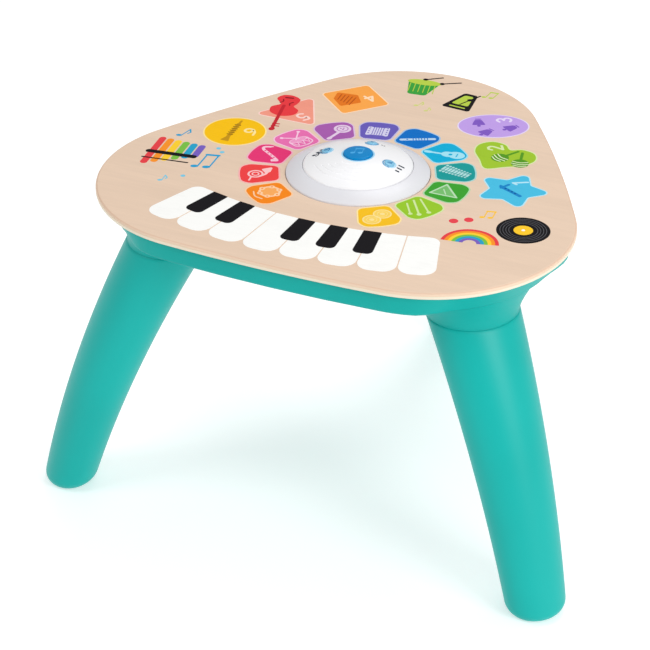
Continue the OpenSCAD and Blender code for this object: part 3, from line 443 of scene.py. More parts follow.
def make_top():
    """The play top: rows run from the hole's lower edge out under the slab, round its edge and back
    over the top to the hole, so that the rows meet again."""
    theta = full_turn(720)
    roll = sizes().edge_round
    rows = []

    def edge(inset, z):
        rows.append(lift(polar(outline_radius(theta, inset), theta, MIDDLE), z))

    def rim(radius, z):
        rows.append(lift(polar(radius, theta, DOME), z))

    rim(HOLE_R, UNDER_Z)
    for inset, up in ((1.0, 0), (0.6, 0), (0.2, 0.3), (0, 0.8)):
        edge(inset * MM, UNDER_Z + up * MM)
    for a in np.linspace(0, np.pi / 2, 9):
        edge(roll * (1 - math.cos(a)), TOP_Z - roll * (1 - math.sin(a)))
    edge(roll + 0.8 * MM, TOP_Z)
    for out, down in ((1.2, 0), (0.5, 0), (0.1, 0.2), (0, 0.6)):
        rim(HOLE_R + out * MM, TOP_Z - down * MM)
    piece = skin("play_top", np.array(rows), "birch", 50)
    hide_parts("top_panel")


# ---- legs and tray
class LegSizes(bpy.types.PropertyGroup):
    foot_reach: size_prop("Foot reach", 0.297, "Table's middle to the middle of a foot")
    socket_reach: size_prop("Socket reach", 0.183, "Table's middle to the leg's axis at the socket")
    bow: size_prop("Bow", 0.00965, "Outward bow of the leg at half height")
    seam: size_prop("Seam height", 0.279, "Height of the joint between leg and socket")
    foot_a: size_prop("Foot, along", 0.0263, "Half width of the foot along the radius")
    foot_b: size_prop("Foot, across", 0.030, "Half width of the foot across the radius")
    head_a: size_prop("Head, along", 0.0414, "Half width at the seam along the radius")
    head_b: size_prop("Head, across", 0.0458, "Half width at the seam across the radius")
    foot_round: size_prop("Foot round", 0.012, "Round at the bottom of the leg")
    foot_gap: size_prop("Foot gap", 0.001, "Height of the leg's bottom above the floor")


def make_leg(node, angle):
    """A leg: ellipses stacked up a bowed line. With s = height / seam height, the line's distance
    from the middle runs from foot to socket plus 4 bow s (1 - s), and the half widths grow evenly."""
    g = bpy.context.scene.leg_sizes
    turn = full_turn(128)
    roll = np.linspace(0, np.pi / 2, 14)
    up = np.linspace(g.foot_gap + g.foot_round, g.seam, 80)[1:-1]
    z = np.concatenate([g.foot_gap + g.foot_round * (1 - np.cos(roll)), up,
                        g.seam - np.array([0.9, 0.3]) * MM])
    tuck = np.concatenate([g.foot_round * (1 - np.sin(roll)), 0 * up, np.array([0.1, 0.6]) * MM])
    share = z / g.seam
    reach = g.foot_reach + (g.socket_reach - g.foot_reach) * share + 4 * g.bow * share * (1 - share)
    a = g.foot_a + (g.head_a - g.foot_a) * share - tuck
    b = g.foot_b + (g.head_b - g.foot_b) * share - tuck
    along = reach[:, None] + a[:, None] * np.cos(turn)
    across = b[:, None] * np.sin(turn)
    c, s = heading(angle)
    rings = np.stack([along * c - across * s + MIDDLE[0], along * s + across * c + MIDDLE[1],
                      np.repeat(z[:, None], len(turn), 1)], -1)
    piece = skin(node + "_shell", rings, "leg", 60, close_rows=False)
    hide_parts(node)


# ---- dome, ring and buttons
RIM_R, RIM_H, CROWN_H, LEDGE_H, SHELL = 0.0535, 0.009, 0.0205, 0.0066, 0.0023
BALL_R = (RIM_R ** 2 + (CROWN_H - RIM_H) ** 2) / (2 * (CROWN_H - RIM_H))
BALL_Z = TOP_Z + CROWN_H - BALL_R
BUTTON_R, SMALL_R, SMALL_REACH = 0.0143, 0.0052, 0.033
TILT = math.asin(SMALL_REACH / BALL_R)
SMALL_BUTTONS = {"left_button": 180, "right_button": 0, "rear_button": 90}
# A button's radius, the height of its crown, its edge's round and the crown's fall to the edge.
MAIN_CAP = (BUTTON_R, TOP_Z + CROWN_H + 2 * MM, 1.4 * MM, 0.7 * MM)
SMALL_CAP = (SMALL_R, BALL_R + 1.6 * MM, 0.8 * MM, 0.2 * MM)


def dome_z(r):
    return BALL_Z + np.sqrt(BALL_R ** 2 - r ** 2)


def make_dome():
    """The cover: a ball's cap from the main button's hole to a rounded rim, with shallow arc
    grooves in front, each a smooth dip across its width that fades at both ends."""
    hole = BUTTON_R + 0.3 * MM
    a = full_turn(480)
    r = np.concatenate([[hole, hole + 0.2 * MM], np.arange(hole + 0.6 * MM, RIM_R - 2.2 * MM, 0.3 * MM)])
    off = np.degrees(np.abs((a + np.pi / 2 + np.pi) % (2 * np.pi) - np.pi))
    z = np.repeat(dome_z(r)[:, None], len(a), 1)
    for i in range(5):
        middle, half = (21 + 5.5 * i) * MM, 24 + 7 * i
        across = np.clip(1 - np.abs(r - middle) / (0.9 * MM), 0, 1)
        end = np.clip((half - off) / 2.5, 0, 1)
        z = z - 0.6 * MM * (np.sin(across * np.pi / 2) ** 2)[:, None] * end[None, :]
    z[0] -= 0.4 * MM
    outer = [(RIM_R - x * MM, dome_z(RIM_R - x * MM) - drop * MM)
             for x, drop in ((1.8, 0), (1.0, 0.12), (0.4, 0.4))]
    side = [(RIM_R - 0.1 * MM, TOP_Z + RIM_H - 0.8 * MM), (RIM_R, TOP_Z + RIM_H - 1.3 * MM),
            (RIM_R, TOP_Z + LEDGE_H), (RIM_R - 3 * MM, TOP_Z + LEDGE_H)]
    inner = [(x, dome_z(x) - SHELL) for x in (RIM_R - 3 * MM, hole + 8 * MM, hole)]
    rings = lathe([*zip(r, z), *outer, *side, *inner], len(a), DOME)
    piece = skin("dome_shell", rings[::-1], "dome", 35)
    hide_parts("dome_cover")


def make_ring():
    """The light ring: a profile turned about the dome's axis, from its lip up a slightly full slope
    to the cover's ledge, then back inside to the clamping flange. Rows are [radius, height over the
    wood] in millimetres."""
    under, rim, ledge = (UNDER_Z - TOP_Z) / MM, RIM_R / MM, LEDGE_H / MM
    t = np.linspace(0, 1, 14)
    slope = zip(69.2 + (rim + 0.8 - 69.2) * t, 1.6 + 6.8 * t + 0.7 * np.sin(np.pi * t))
    profile = [(68, -8.4), (77.8, -8.4), (78, -8.2), (78, under), (70, under), (70, 0.2), (69.95, 0.7),
               (69.7, 1.2), *slope, (rim + 0.5, 8.3), (rim + 0.4, 8), (rim + 0.4, ledge),
               (rim - 3, ledge), (rim - 3, 4.6), (rim + 0.4, 4.6), (68, -1)]
    rings = lathe([(r * MM, TOP_Z + z * MM) for r, z in profile], 256, DOME)
    piece = skin("ring_shell", rings, "ring", 38)
    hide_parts("light_ring")


def crown(r, radius, top, roll, fall):
    """A button's height at r: its top less fall times the square of r over the flat part's radius."""
    return top - fall * (r / (radius - roll)) ** 2


def cap(base, lip, step, rows, size):
    """A button's profile: stem, flange under the cover, side, rolled edge and crown."""
    radius, top, roll, fall = size
    edge = [(radius - roll * (1 - math.cos(a)), top - fall - roll * (1 - math.sin(a)))
            for a in np.linspace(0, np.pi / 2, rows[0])]
    r = np.linspace(radius - roll - step, 0, rows[1])
    stem, flange, under = 2.6 * MM, radius + 1.6 * MM, lip - 1.6 * MM
    return [(0, base), (stem, base), (stem, under), (flange, under), (flange, lip), (radius, lip),
            *edge, *zip(r, crown(r, *size))]


def make_main_button():
    """The big button: a turned cap with a rolled edge and a low crown."""
    profile = cap(TOP_Z + 3.4 * MM, TOP_Z + 17 * MM, 0.8 * MM, (8, 14), MAIN_CAP)
    piece = turned("main_button_cap", profile, (*DOME, 0), "button", "main_button", 128)
    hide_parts("main_button")


def tilt_of(angle):
    """The turn that leans an upright axis out over a small button's place on the dome."""
    c, s = heading(angle)
    ct, st = math.cos(TILT), math.sin(TILT)
    return np.array([[c, -s, 0], [s, c, 0], [0, 0, 1]]) @ [[ct, 0, st], [0, 1, 0], [-st, 0, ct]]


def make_small_buttons():
    """The three small buttons: turned caps that lean with the dome."""
    profile = cap(BALL_R - 12.9 * MM, BALL_R - 2.7 * MM, 0.5 * MM, (6, 7), SMALL_CAP)
    for node, angle in SMALL_BUTTONS.items():
        piece = turned(node + "_cap", profile, (*DOME, BALL_Z), "small_button", node, 72, tilt_of(angle))
        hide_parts(node)


# ---- flat shapes for the print
def arc(centre, radius, start, end, steps=9):
    return polar(radius, np.radians(np.linspace(start, end, steps)), centre)


def oval(rx, ry, centre=(0, 0), steps=64):
    return polar(1, full_turn(steps)) * (rx, ry) + centre


def moved(shape, at=(0, 0), turn=0.0, scale=1.0):
    c, s = heading(turn)
    return (np.asarray(shape) * scale) @ np.array([[c, s], [-s, c]]) + np.array(at)


def unit(rows):
    return rows / np.linalg.norm(rows, axis=1, keepdims=True)


def rounded(points, radii):
    """A polygon whose corners are arcs: at each corner an arc of that radius touches both sides."""
    p = np.asarray(points, float)
    radii = np.broadcast_to(radii, len(p))
    before, after = unit(np.roll(p, 1, 0) - p), unit(np.roll(p, -1, 0) - p)
    half = np.arccos(np.clip((before * after).sum(1), -1, 1)) / 2
    middle = unit(before + after)
    centre = p + middle * (radii / np.sin(half))[:, None]
    sweep = np.sign(before[:, 0] * after[:, 1] - before[:, 1] * after[:, 0]) * (np.pi / 2 - half)
    a = np.arctan2(*-middle.T[::-1])[:, None] - np.linspace(-1, 1, 9) * sweep[:, None]
    return polar(radii[:, None], a, (centre[:, :1], centre[:, 1:])).reshape(-1, 2)


def star(outer, inner, corner):
    points = polar(np.tile([outer, inner], 5), full_turn(10) + np.pi / 2)
    return rounded(points, np.tile([corner, corner * 0.8], 5))


def heart(width):
    half = [(14, -17), (28, -3), (32, 12), (24, 24.5), (10, 25.6)]
    points = [(0, -30), *half, (0, 18.5), *((-x, y) for x, y in half[::-1])]
    return curve_outline(np.array(points) * width / 64)


def area_sum(flat):
    """Twice an outline's area, which is above zero where it runs anticlockwise."""
    x, y = np.asarray(flat).T
    return (x * np.roll(y, -1) - np.roll(x, -1) * y).sum()


def grown(shape, width):
    """The same closed outline set off outward."""
    p = np.asarray(shape, float)
    step = np.roll(p, -1, 0) - np.roll(p, 1, 0)
    return p + unit(step[:, ::-1] * (1, -1)) * width * np.sign(area_sum(p))


def stroke(points, width):
    """A line with round ends: its points set off to both sides, and a half circle at each end."""
    p = np.asarray(points, float)
    step = unit(np.gradient(p, axis=0))
    side = np.stack([-step[:, 1], step[:, 0]], -1) * width / 2
    first, last = np.degrees(np.arctan2(*step[[0, -1], ::-1].T))
    ends = [arc(p[-1], width / 2, last - 78, last + 78), arc(p[0], width / 2, first + 102, first + 258)]
    return np.concatenate([p - side, ends[0], (p + side)[::-1], ends[1]])


def line(a, b, width):
    t = np.linspace(0, 1, 5)[:, None]
    return stroke(np.asarray(a, float) * (1 - t) + np.asarray(b, float) * t, width)


def lines(points, width):
    """Straight strokes from each point to the next."""
    return [line(a, b, width) for a, b in zip(points, points[1:])]


def cubic(a, b, c, d):
    """Points from b towards c on the cubic whose end slopes run from a to c and from b to d."""
    t = np.linspace(0, 1, 7)[:-1, None]
    return 0.5 * (2 * b + (c - a) * t + (2 * a - 5 * b + 4 * c - d) * t ** 2
                  + (3 * b - a - 3 * c + d) * t ** 3)


def curve(points, width):
    """A smooth line through the points."""
    p = np.asarray(points, float)
    q = np.concatenate([2 * p[:1] - p[1:2], p, 2 * p[-1:] - p[-2:-1]])
    spans = [cubic(*four) for four in zip(q, q[1:], q[2:], q[3:])]
    return stroke(np.concatenate(spans + [p[-1:]]), width)


def curve_outline(points):
    """A smooth closed outline through the points."""
    p = np.asarray(points, float)
    return cubic(*(np.roll(p, k, 0)[:, None] for k in (1, 0, -1, -2))).reshape(-1, 2)


def block(low, high, foot, head, radii):
    """An upright block between two heights, foot and head being its half widths there."""
    return rounded([(-foot, low), (foot, low), (head, high), (-head, high)], radii)


def bar(width, height, radius):
    return block(-height / 2, height / 2, width / 2, width / 2, radius)


def dots(places, r):
    return [oval(r, r, p, 20) for p in places]


def band(radius_in, radius_out, start, end, steps):
    """A part of a ring between two radii."""
    return np.concatenate([arc((0, 0), radius_out, start, end, steps),
                           arc((0, 0), radius_in, end, start, steps)])


def hoop(radius, width, centre=(0, 0)):
    """A ring as two half bands, so that each is one simple outline."""
    halves = [band(radius - width / 2, radius + width / 2, s, s + 180.5, 25) for s in (0, 180)]
    return [h + np.array(centre) for h in halves]


def brightness(rgb):
    return float(np.dot(rgb, (0.2126, 0.7152, 0.0722))) / 255


def pale(rgb, share=0.68):
    return tuple(c + (255 - c) * share for c in rgb)


class Print:
    """Collects flat shapes in millimetres about the table's middle, each with a tint and a layer,
    and turns them into thin closed plates on the wood."""

    def __init__(self, height=lambda place: np.full(len(place), TOP_Z), centre=MIDDLE):
        self.points, self.faces, self.tints = [], [], []
        self.height, self.centre = height, np.array(centre)

    def add(self, shapes, rgb, layer=1, at=(0, 0), turn=0.0, scale=1.0):
        for i, shape in enumerate(shapes if isinstance(shapes, list) else [shapes]):
            flat = moved(shape, at, turn, scale)
            if area_sum(flat) < 0:
                flat = flat[::-1]
            place = flat * MM + self.centre
            foot = self.height(place)
            n, base = len(flat), len(self.tints)
            k = base + np.arange(n)
            after = np.roll(k, -1)
            self.faces += np.stack([k, after, n + after, n + k], -1).tolist()
            self.faces += [k[::-1].tolist(), (n + k).tolist()]
            head = foot + sizes().ink * (layer + 0.03 * i)
            self.points += [lift(place, foot - 0.04 * MM), lift(place, head)]
            self.tints += [[*map(linear, rgb), 1.0]] * (2 * n)

    def add_all(self, plates):
        for plate in plates:
            self.add(*plate)

    def outlined(self, shape, rgb, layer, at=(0, 0), turn=0.0, width=1.4):
        """A shape with a pale rim: the same outline set off outward lies under it."""
        self.add(grown(shape, width), pale(rgb, 0.6), layer - 0.5, at, turn)
        self.add(shape, rgb, layer, at, turn)

    def finish(self, name, body="table", tilt=np.eye(3), origin=(0, 0, 0)):
        points = np.concatenate(self.points) @ tilt.T + np.array(origin)
        piece = add_piece(name, points, self.faces, "print", body)
        layer = piece.data.attributes.new("tint", "FLOAT_COLOR", "POINT")
        layer.data.foreach_set("color", np.array(self.tints, np.float32).ravel())


# ---- the printed pictures
WHITE, BLACK = (250, 250, 247), (20, 18, 22)
RAINBOW = [(228, 66, 72), (246, 146, 40), (250, 206, 50), (120, 190, 70), (40, 160, 200), (120, 96, 190)]
DIGITS = {
    1: [(-2, 3.5), (0.5, 5.5), (0.5, -5.5)],
    2: [(-3, 3), (-1.5, 5.2), (1.5, 5.2), (3, 3), (2.2, 0.6), (-3.2, -5.5), (3.4, -5.5)],
    3: [[(-2.8, 4.2), (0, 5.6), (2.6, 4), (2.2, 1.4), (-0.2, 0.3)],
        [(-0.2, 0.3), (2.8, -0.9), (3.1, -3.6), (0.2, -5.6), (-3, -4.2)]],
    4: [(1.6, -5.5), (1.6, 5.5), (-3.4, -1.8), (3.6, -1.8)],
    5: [[(2.8, 5.5), (-2.2, 5.5), (-2.6, 0.9), (0.6, 1.6), (3, -0.8), (2.4, -4.4), (-0.4, -5.6),
         (-3, -4.4)]],
    6: [[(2.2, 5.6), (-1.4, 2.6), (-3.2, -1.6), (-2, -4.8), (0.6, -5.7), (3.1, -4.2), (3.2, -1.4),
         (0.8, 0.2), (-2, -0.9)]],
}


def digit(number, width):
    """A plain figure drawn with round-ended strokes: straight ones in 1, 2 and 4, else curves."""
    parts = DIGITS[number]
    return lines(parts, width) if number in (1, 2, 4) else [curve(part, width) for part in parts]


def note(height, beamed=False):
    """A music note, or a pair under one beam."""
    head = moved(oval(2.6, 1.9, steps=32), turn=20)
    stems = [0, 8] if beamed else [0]
    parts = [moved(head, (x, x * 0.15)) for x in stems]
    parts += [line((x + 2.2, x * 0.15), (x + 2.2, height + x * 0.15), 1.1) for x in stems]
    if beamed:
        return parts + [line((2.2, height - 0.6), (10.2, height + 0.6), 2.4)]
    return parts + [curve([(2.2, height), (4.5, height - 3), (5.8, height - 5), (5, height - 8)], 1.4)]


def petal():
    """A petal with its outer side up: it widens outward and its outer edge bulges."""
    points = [(-14.6, -18.3), (14.6, -18.3), (20, 9), (15.6, 17.6), (0, 19.6), (-15.6, 17.6), (-20, 9)]
    return rounded(points, [6.5, 6.5, 10, 9, 60, 9, 10])


# An instrument is a list of shapes in its palest tone, or of a tone and shapes: 1 is the petal's
# own colour and 2 is slightly paler.
def flute():
    keys = [line((x - 1.1, x * 0.83 - 0.3), (x + 1.1, x * 0.83 - 2.9), 0.9)
            for x in np.arange(-2, 11, 2.2)]
    return [line((-11, -10.8), (14, 10), 4.2), (1, keys), (1, dots([(-6.5, -7)], 1))]


def guitar():
    return [moved(oval(8.6, 7.4), (9, 8.4), 40), moved(oval(6.6, 5.6), (3.2, 2), 40),
            line((1, -1), (-9.6, -11.4), 2.8), line((-9.4, -11.2), (-12, -13.8), 4.6),
            (1, dots([(5, 4)], 2)), (1, line((7.4, 11), (12, 6.4), 1.1))]


def xylophone():
    bars = [line((-7 + 0.3 * i, -13 + 3.4 * i), (7 - 0.3 * i, -13 + 3.4 * i), 2.5) for i in range(9)]
    rails = [line((-4.5, -14), (-3.4, 15.5), 1.1), line((4.5, -14), (3.4, 15.5), 1.1)]
    bars, rails = ([moved(part, (-1, 0), -36) for part in parts] for parts in (bars, rails))
    return [bars, (1, rails)]


def triangle():
    corners = [(-13.5, -5), (7.6, 13.6), (8.6, -13.4)]
    return [(2, rounded(corners, 1.5)), lines(corners + corners[:1], 1.9),
            line((-3, -4), (5.5, 1.5), 1.2)]


def sticks():
    rods = [((-12, -11.6), (-1.5, 12), 1.8, (-1, 13.4), 2.3),
            ((-5.6, -14), (8, 9.5), 2, (8.7, 10.8), 2.4),
            ((3.5, -13), (13.6, 3.4), 1.7, (14.2, 4.6), 2.1)]
    return [shape for a, b, width, tip, r in rods for shape in (line(a, b, width), dots([tip], r))]


def cymbals():
    pair = ((-5.4, -3.4), (6.8, 5.4))
    return [(2, [oval(8.6, 8.6, c) for c in pair]), [h for c in pair for h in hoop(8.2, 1.4, c)],
            dots(pair, 2.4), [h for c in pair for h in hoop(4.8, 0.6, c)]]


def squeeze_box():
    body = [(-11.6, -12), (-6.4, -9.4), (6.4, -9.4), (11.6, -12), (11, 9.6), (5.6, 7.6), (-5.6, 7.6),
            (-11, 9.6)]
    folds = [line((x, -8.6), (x, 7.4), 0.7) for x in (-5, -2.5, 0, 2.5, 5)]
    return [rounded(body, [2, 0.6, 0.6, 2, 2, 0.6, 0.6, 2]), (1, folds),
            *[(1, dots([(x, y) for y in (-6, -1.5, 3, 7)], 0.9)) for x in (-9, 9)]]


def maraca():
    return [oval(8.8, 9, (8, 3.6)), line((3, -2.4), (-10.4, -14.2), 3.2),
            line((-9.4, -13.4), (-10.8, -14.6), 4.6), (1, hoop(5.6, 0.8, (8, 3.6))),
            (1, dots([(6.6, 5), (9.6, 4.6), (8, 1.8)], 0.9))]


def drum():
    shell = [(-10.8, -2), (-10.4, -11), (-5.5, -14.2), (0, -15), (5.5, -14.2), (10.4, -11), (10.8, -2)]
    cord = [(-10, -4), (-6.7, -11.6), (-3.3, -4.6), (0, -12.6), (3.3, -4.6), (6.7, -11.6), (10, -4)]
    rim = [moved(h * [1, 0.42], (0, -1.4)) for h in hoop(10.4, 1.4)]
    return [(2, oval(10.6, 4.4, (0, -1.4))), rim, curve(shell, 1.4), lines(cord, 0.9),
            line((-2, 0), (11, 12), 1.6), line((2.6, 0.4), (-9.6, 11.6), 1.6),
            dots([(11.6, 12.6), (-10.2, 12.2)], 1.9)]


def saxophone():
    tube = [(15.4, 6.4), (12.6, 11.8), (7.6, 10.4), (2.5, 3.4), (-3.5, -5), (-8.6, -11.4)]
    bell = rounded([(-13.6, -7), (-9.4, -5), (-6.4, -12), (-10.4, -14.4)], [1.2, 1.2, 2.4, 2.4])
    return [curve(tube, 3.2), bell, line((15.6, 6.6), (16.4, 4.4), 1.8),
            (1, dots([(5.6, 7.6), (2.2, 3), (-1.2, -1.6), (-4.6, -6.2)], 1))]


def horn():
    bell = rounded([(0.4, -5.4), (2.4, -10.4), (12.6, -13.4), (8.6, -1.6)], [0.6, 0.6, 1.6, 1.6])
    return [hoop(6.8, 2, (-1, 4)), hoop(3.2, 1.3, (-1, 4)), line((-6.4, 8), (-14, 10.4), 1.8),
            curve([(-6, 0), (-2, -5.4), (3, -8)], 2.6), bell]


def tambourine():
    middle = (1.6, -1.4)
    jingles = polar(9.6, np.radians(np.arange(0, 360, 60) + 20), middle)
    return [hoop(9.6, 2.4, middle), (2, oval(8, 8, middle)), dots(jingles, 2.9),
            (1, dots(jingles, 1)), curve([(-8, 11.6), (0, 15), (9, 12)], 1.4)]


# Each petal's direction in degrees, its colour and its instrument.
PETALS = [
    (77, (6, 110, 196), flute), (51, (8, 172, 214), guitar), (25, (24, 152, 150), xylophone),
    (-1, (60, 160, 48), triangle), (-27, (150, 198, 44), sticks), (-53, (244, 190, 28), cymbals),
    (103, (103, 92, 182), squeeze_box), (129, (166, 92, 172), maraca), (155, (232, 112, 176), drum),
    (181, (228, 54, 116), saxophone), (207, (236, 66, 68), horn), (233, (244, 134, 24), tambourine)]


def print_keys(ink):
    """Eight white keys on a fan about a point behind the table's middle, and five black keys on
    the lines between them."""
    fan, near, far, pitch = np.array([-2.8, 292.0]), 398.0, 468.0, 4.66

    def key(middle, low, high, r0, r1, radii):
        c, s = heading(middle)
        out, side = np.array([s, -c]), np.array([c, s])
        corners = ((r0, low), (r1, low), (r1, high), (r0, high))
        return rounded([fan + out * r + side * r * x for r, x in corners], radii)

    half = math.tan(math.radians(pitch / 2)) - 0.0013
    for k in range(8):
        first, last = k == 0, k == 7
        radii = [10 if first else 0.8, 13, 13, 10 if last else 0.8]
        low, high = 0.003 * first - half, half - 0.003 * last
        ink.add(key(pitch * (k - 3.5), low, high, near, far, radii), WHITE)
    for k in (-3, -2, 0, 1, 2):
        ink.add(key(pitch * k, -0.0218, 0.0218, near - 0.6, near + 42, [1, 6, 6, 1]), BLACK, 2)


def print_petals(ink):
    """Twelve petals round the ring, each with a pale rim and a plain instrument in paler tones."""
    for angle, rgb, picture in PETALS:
        c, s = heading(angle)
        at = (93.5 * c + 2.8 * s - 0.5, 93.5 * s + 3)
        ink.outlined(petal(), rgb, 2, at, angle - 90, 1.5)
        tones = (pale(rgb, 0.9 - 0.5 * brightness(rgb)), rgb, pale(rgb, 0.3))
        for i, part in enumerate(picture()):
            tone, shape = part if isinstance(part, tuple) else (0, part)
            ink.add(shape, tones[tone], 3 + 0.3 * i, at, angle - 90)


def print_shapes(ink):
    """The six big numbered shapes, each with a plain instrument in a darker tone. Each figure
    reads from the side of the table that its shape is next to."""
    green = (158, 196, 48)
    for value, place, rgb, shape, *how in (
            (6, (-133.5, 39), (247, 192, 14), oval(30.5, 30.5), (-148.8, 32.7)),
            (5, (-101.5, 92), (241, 153, 132), rounded([(-149, 79), (-83.5, 79.5), (-111.4, 137)], 4)),
            (4, (-57.5, 161.5), (249, 166, 76),
             rounded([(-107, 151), (-68, 116.5), (-34, 156), (-72.6, 189.5)], 4)),
            (3, (87, 171), (191, 158, 230), oval(35, 25.5), (82, 153.8), 25),
            (2, (101.5, 108), green, heart(63), (113.6, 92), -10),
            (1, (150.5, 48), (72, 188, 224), star(38, 20.5, 5), (148, 30.6), -4)):
        ink.outlined(shape, rgb, 1, *how)
        ink.add(digit(value, 2.0), pale(rgb, 0.6), 2, place, 120 if value < 4 else -120, 1.3)

    body = [(-132.6, 133.4), (-121.4, 128), (-119.8, 116.6), (-120.4, 110), (-112, 103), (-112.4, 91.6),
            (-124, 84.6), (-137, 89), (-141.4, 100.6), (-135.6, 109.6), (-138.8, 114.4), (-144.6, 121.4),
            (-142, 130.4)]
    red, maroon = (196, 36, 48), (132, 20, 30)
    plates = [
        ([line((-149.6, 18), (-152.8, 50), 4.2),
          rounded([(-154, 10), (-144.6, 10), (-147.6, 19.5), (-151.4, 19.5)], 1),
          line((-152.9, 51), (-153.4, 57), 2.4)], (196, 146, 18), 2),
        ([line((-155.5 + 0.42 * i, 46.6 - 4.4 * i), (-149.8 + 0.42 * i, 47.2 - 4.4 * i), 1.3)
          for i in range(6)], (140, 104, 20), 3),
        (curve_outline(body), (230, 58, 64), 2),
        ([line((-130.6, 108), (-119.2, 58), 3.6), oval(3, 3.6, (-118.2, 54))], red, 3),
        ([line((-121.5, 60.6), (-114.6, 62), 1.6), line((-122.6, 65.6), (-116, 67), 1.6)], red, 3.4),
        ([curve([(-137.4, 113), (-135.6, 117), (-137.4, 121)], 1.2),
          curve([(-125.4, 110.6), (-127, 114.6), (-125, 118.6)], 1.2),
          line((-136.6, 126), (-129.6, 127.6), 2.4)], maroon, 4),
        (rounded([(-94, 160.5), (-72, 163), (-61.5, 148), (-77.5, 131.5), (-91.5, 145)], 2.4),
         (226, 118, 30), 2),
        ([line((-88 + 4.2 * i, 157.5 - 0.3 * i), (-86.6 + 4 * i, 144.5 - 1.6 * i), 1.1)
          for i in range(5)], (184, 84, 16), 3),
        ([rounded([(133, 37.4), (135.4, 31), (160.5, 19.6), (161.4, 23.4)], 1.2),
          line((137.4, 30.6), (141.6, 40), 3)], (24, 130, 196), 2),
        (dots([(141.5 + 4 * i, 31.2 - 1.95 * i) for i in range(4)], 1.1), (12, 88, 150), 3)]
    bell = [block(-5.6, 6.4, 7, 3.4, [1.2, 1.2, 3, 3]), *dots([(0, -7.6)], 2),
            line((-2.6, 8), (2.6, 8), 1.5)]
    for at, turn in (((65.4, 155), 25), ((80.5, 137.6), -20), ((99.4, 157), -35)):
        plates.append((bell, (128, 90, 192), 2, at, turn))
    shaker = [oval(8.6, 8.8), line((0, 8), (0, 23), 2.8)]
    stripes = [curve([(-x, y), (0, y + rise), (x, y)], 1.3)
               for x, y, rise in ((7.4, 3.2, -1.8), (8, -0.8, -1.8), (6.2, -4.8, -1.6))]
    for at, turn, layer in (((113.5, 90), -30, 2), ((135.5, 86.5), 14, 2.2)):
        plates += [(shaker, (84, 150, 34), layer, at, turn), (stripes, pale(green), 3, at, turn)]
    ink.add_all(plates)


def print_pictures(ink):
    """Generic music pictures near the three corners: a xylophone with notes, a drum beside a
    metronome, and a rainbow beside a disc."""
    sky, haze, lime, moss = (34, 158, 206), (120, 200, 226), (184, 208, 74), (206, 214, 120)
    disc, wedge = (186, -40), (33, 194)
    plates = [(bar(7.2, 60 - 6.5 * i, 3.5), rgb, 1, (-203 + 8.4 * i, -38 + 3.2 * i), 8)
              for i, rgb in enumerate(RAINBOW)]
    plates += [(band(23.5 - 3.4 * i, 27 - 3.4 * i, 4, 176, 32), rgb, 1 + 0.1 * i, (150, -84), 12)
               for i, rgb in enumerate(RAINBOW)]
    plates += [(hoop(r, 0.5), (96, 96, 102), 2, disc) for r in (21.5, 18.8, 16.1, 13.4)]
    plates += [
        (bar(53, 6.5, 3), BLACK, 2, (-183, -38), 8),
        (bar(49, 2, 1), BLACK, 2, (-182.6, -52), 8),
        (note(19, True), sky, 1, (-150, -52), 6, 1.45),
        (note(15), sky, 1, (-196, 2), -8, 1.1),
        (note(12), haze, 1, (-166, -92), 10, 0.9),
        (dots([(-146, -8), (-139, -14), (-150, -75)], 2.4), haze),
        (block(-18, 13, 9.5, 17, [4, 4, 3, 3]), (58, 160, 62), 1, (-20, 208), 6),
        (oval(18, 6.4), lime, 2, (-21.3, 221.3), 6),
        ([line((-15 + 6 * i, 10), (-12 + 6 * i, -12), 1) for i in range(6)], lime, 2,
         (-20, 207), 6, 0.88),
        ([line((-2, 226), (14, 236), 1.8), line((-22, 229), (-8, 240), 1.8)], BLACK, 3),
        (dots([(-3, 225.4), (-23, 228.4)], 2.6), BLACK, 3),
        (block(-19, 20, 16, 7.5, [3, 3, 4, 4]), BLACK, 1, wedge, -5),
        (block(-8, 15, 9.5, 4.8, [2, 2, 3, 3]), lime, 2, wedge, -5),
        ([line((0, -7), (9.5, 21), 1.5), *dots([(4.6, 6.6)], 2.8)], BLACK, 3, wedge, -5),
        (line((-8, -13.6), (8, -13.6), 2.2), lime, 2, wedge, -5),
        (note(15, True), lime, 1, (48, 214), -4, 0.95),
        (note(12), moss, 1, (-8, 166), -10, 0.9),
        (note(11), moss, 1, (6, 158), 6, 0.75),
        (oval(25, 25), BLACK, 1, disc),
        (oval(9, 9), (250, 200, 44), 2, disc),
        (oval(1.7, 1.7), WHITE, 3, disc),
        (dots([(133, -42), (121, -50)], 4.4), (229, 70, 80)),
        (note(14, True), (250, 196, 50), 1, (142, -32), 6, 0.95)]
    ink.add_all(plates)


def print_dome(ink):
    """Marks on the cover: a pale halo round the main button, a shade beside each small button, and
    a row of level marks or notes outside them."""
    halo, navy, sky = (168, 222, 248), (30, 44, 62), (104, 160, 200)
    ink.add(hoop(BUTTON_R / MM + 1.1, 1.5, (0, 3)), halo)
    for x, y, low, high in ((-33, 3, 130, 300), (33, 3, 120, 290), (0, 36, 120, 420)):
        ink.add(hoop(SMALL_R / MM + 0.9, 1.0, (x, y)), halo)
        # painted shadow: a sky-blue crescent round the left and front of each small button
        ink.add([band(5.6, 7.0, low, high, 17)], sky, 1.2, (x, y))
    for i in range(3):
        ink.add(line((-1.2 - 0.5 * i, 0), (1.2 + 0.5 * i, 0), 1.9), navy, 1.5, (43.4, -2.4 + 5.2 * i), 6)
        ink.add(note(6.2), navy, 1.5, (-43 + 1.4 * i, -5.5 + 5.8 * i), -20, 0.8)
    ink.add(dots([(9.6, 38.6), (12.4, 37.8)], 0.9), navy, 1.5)


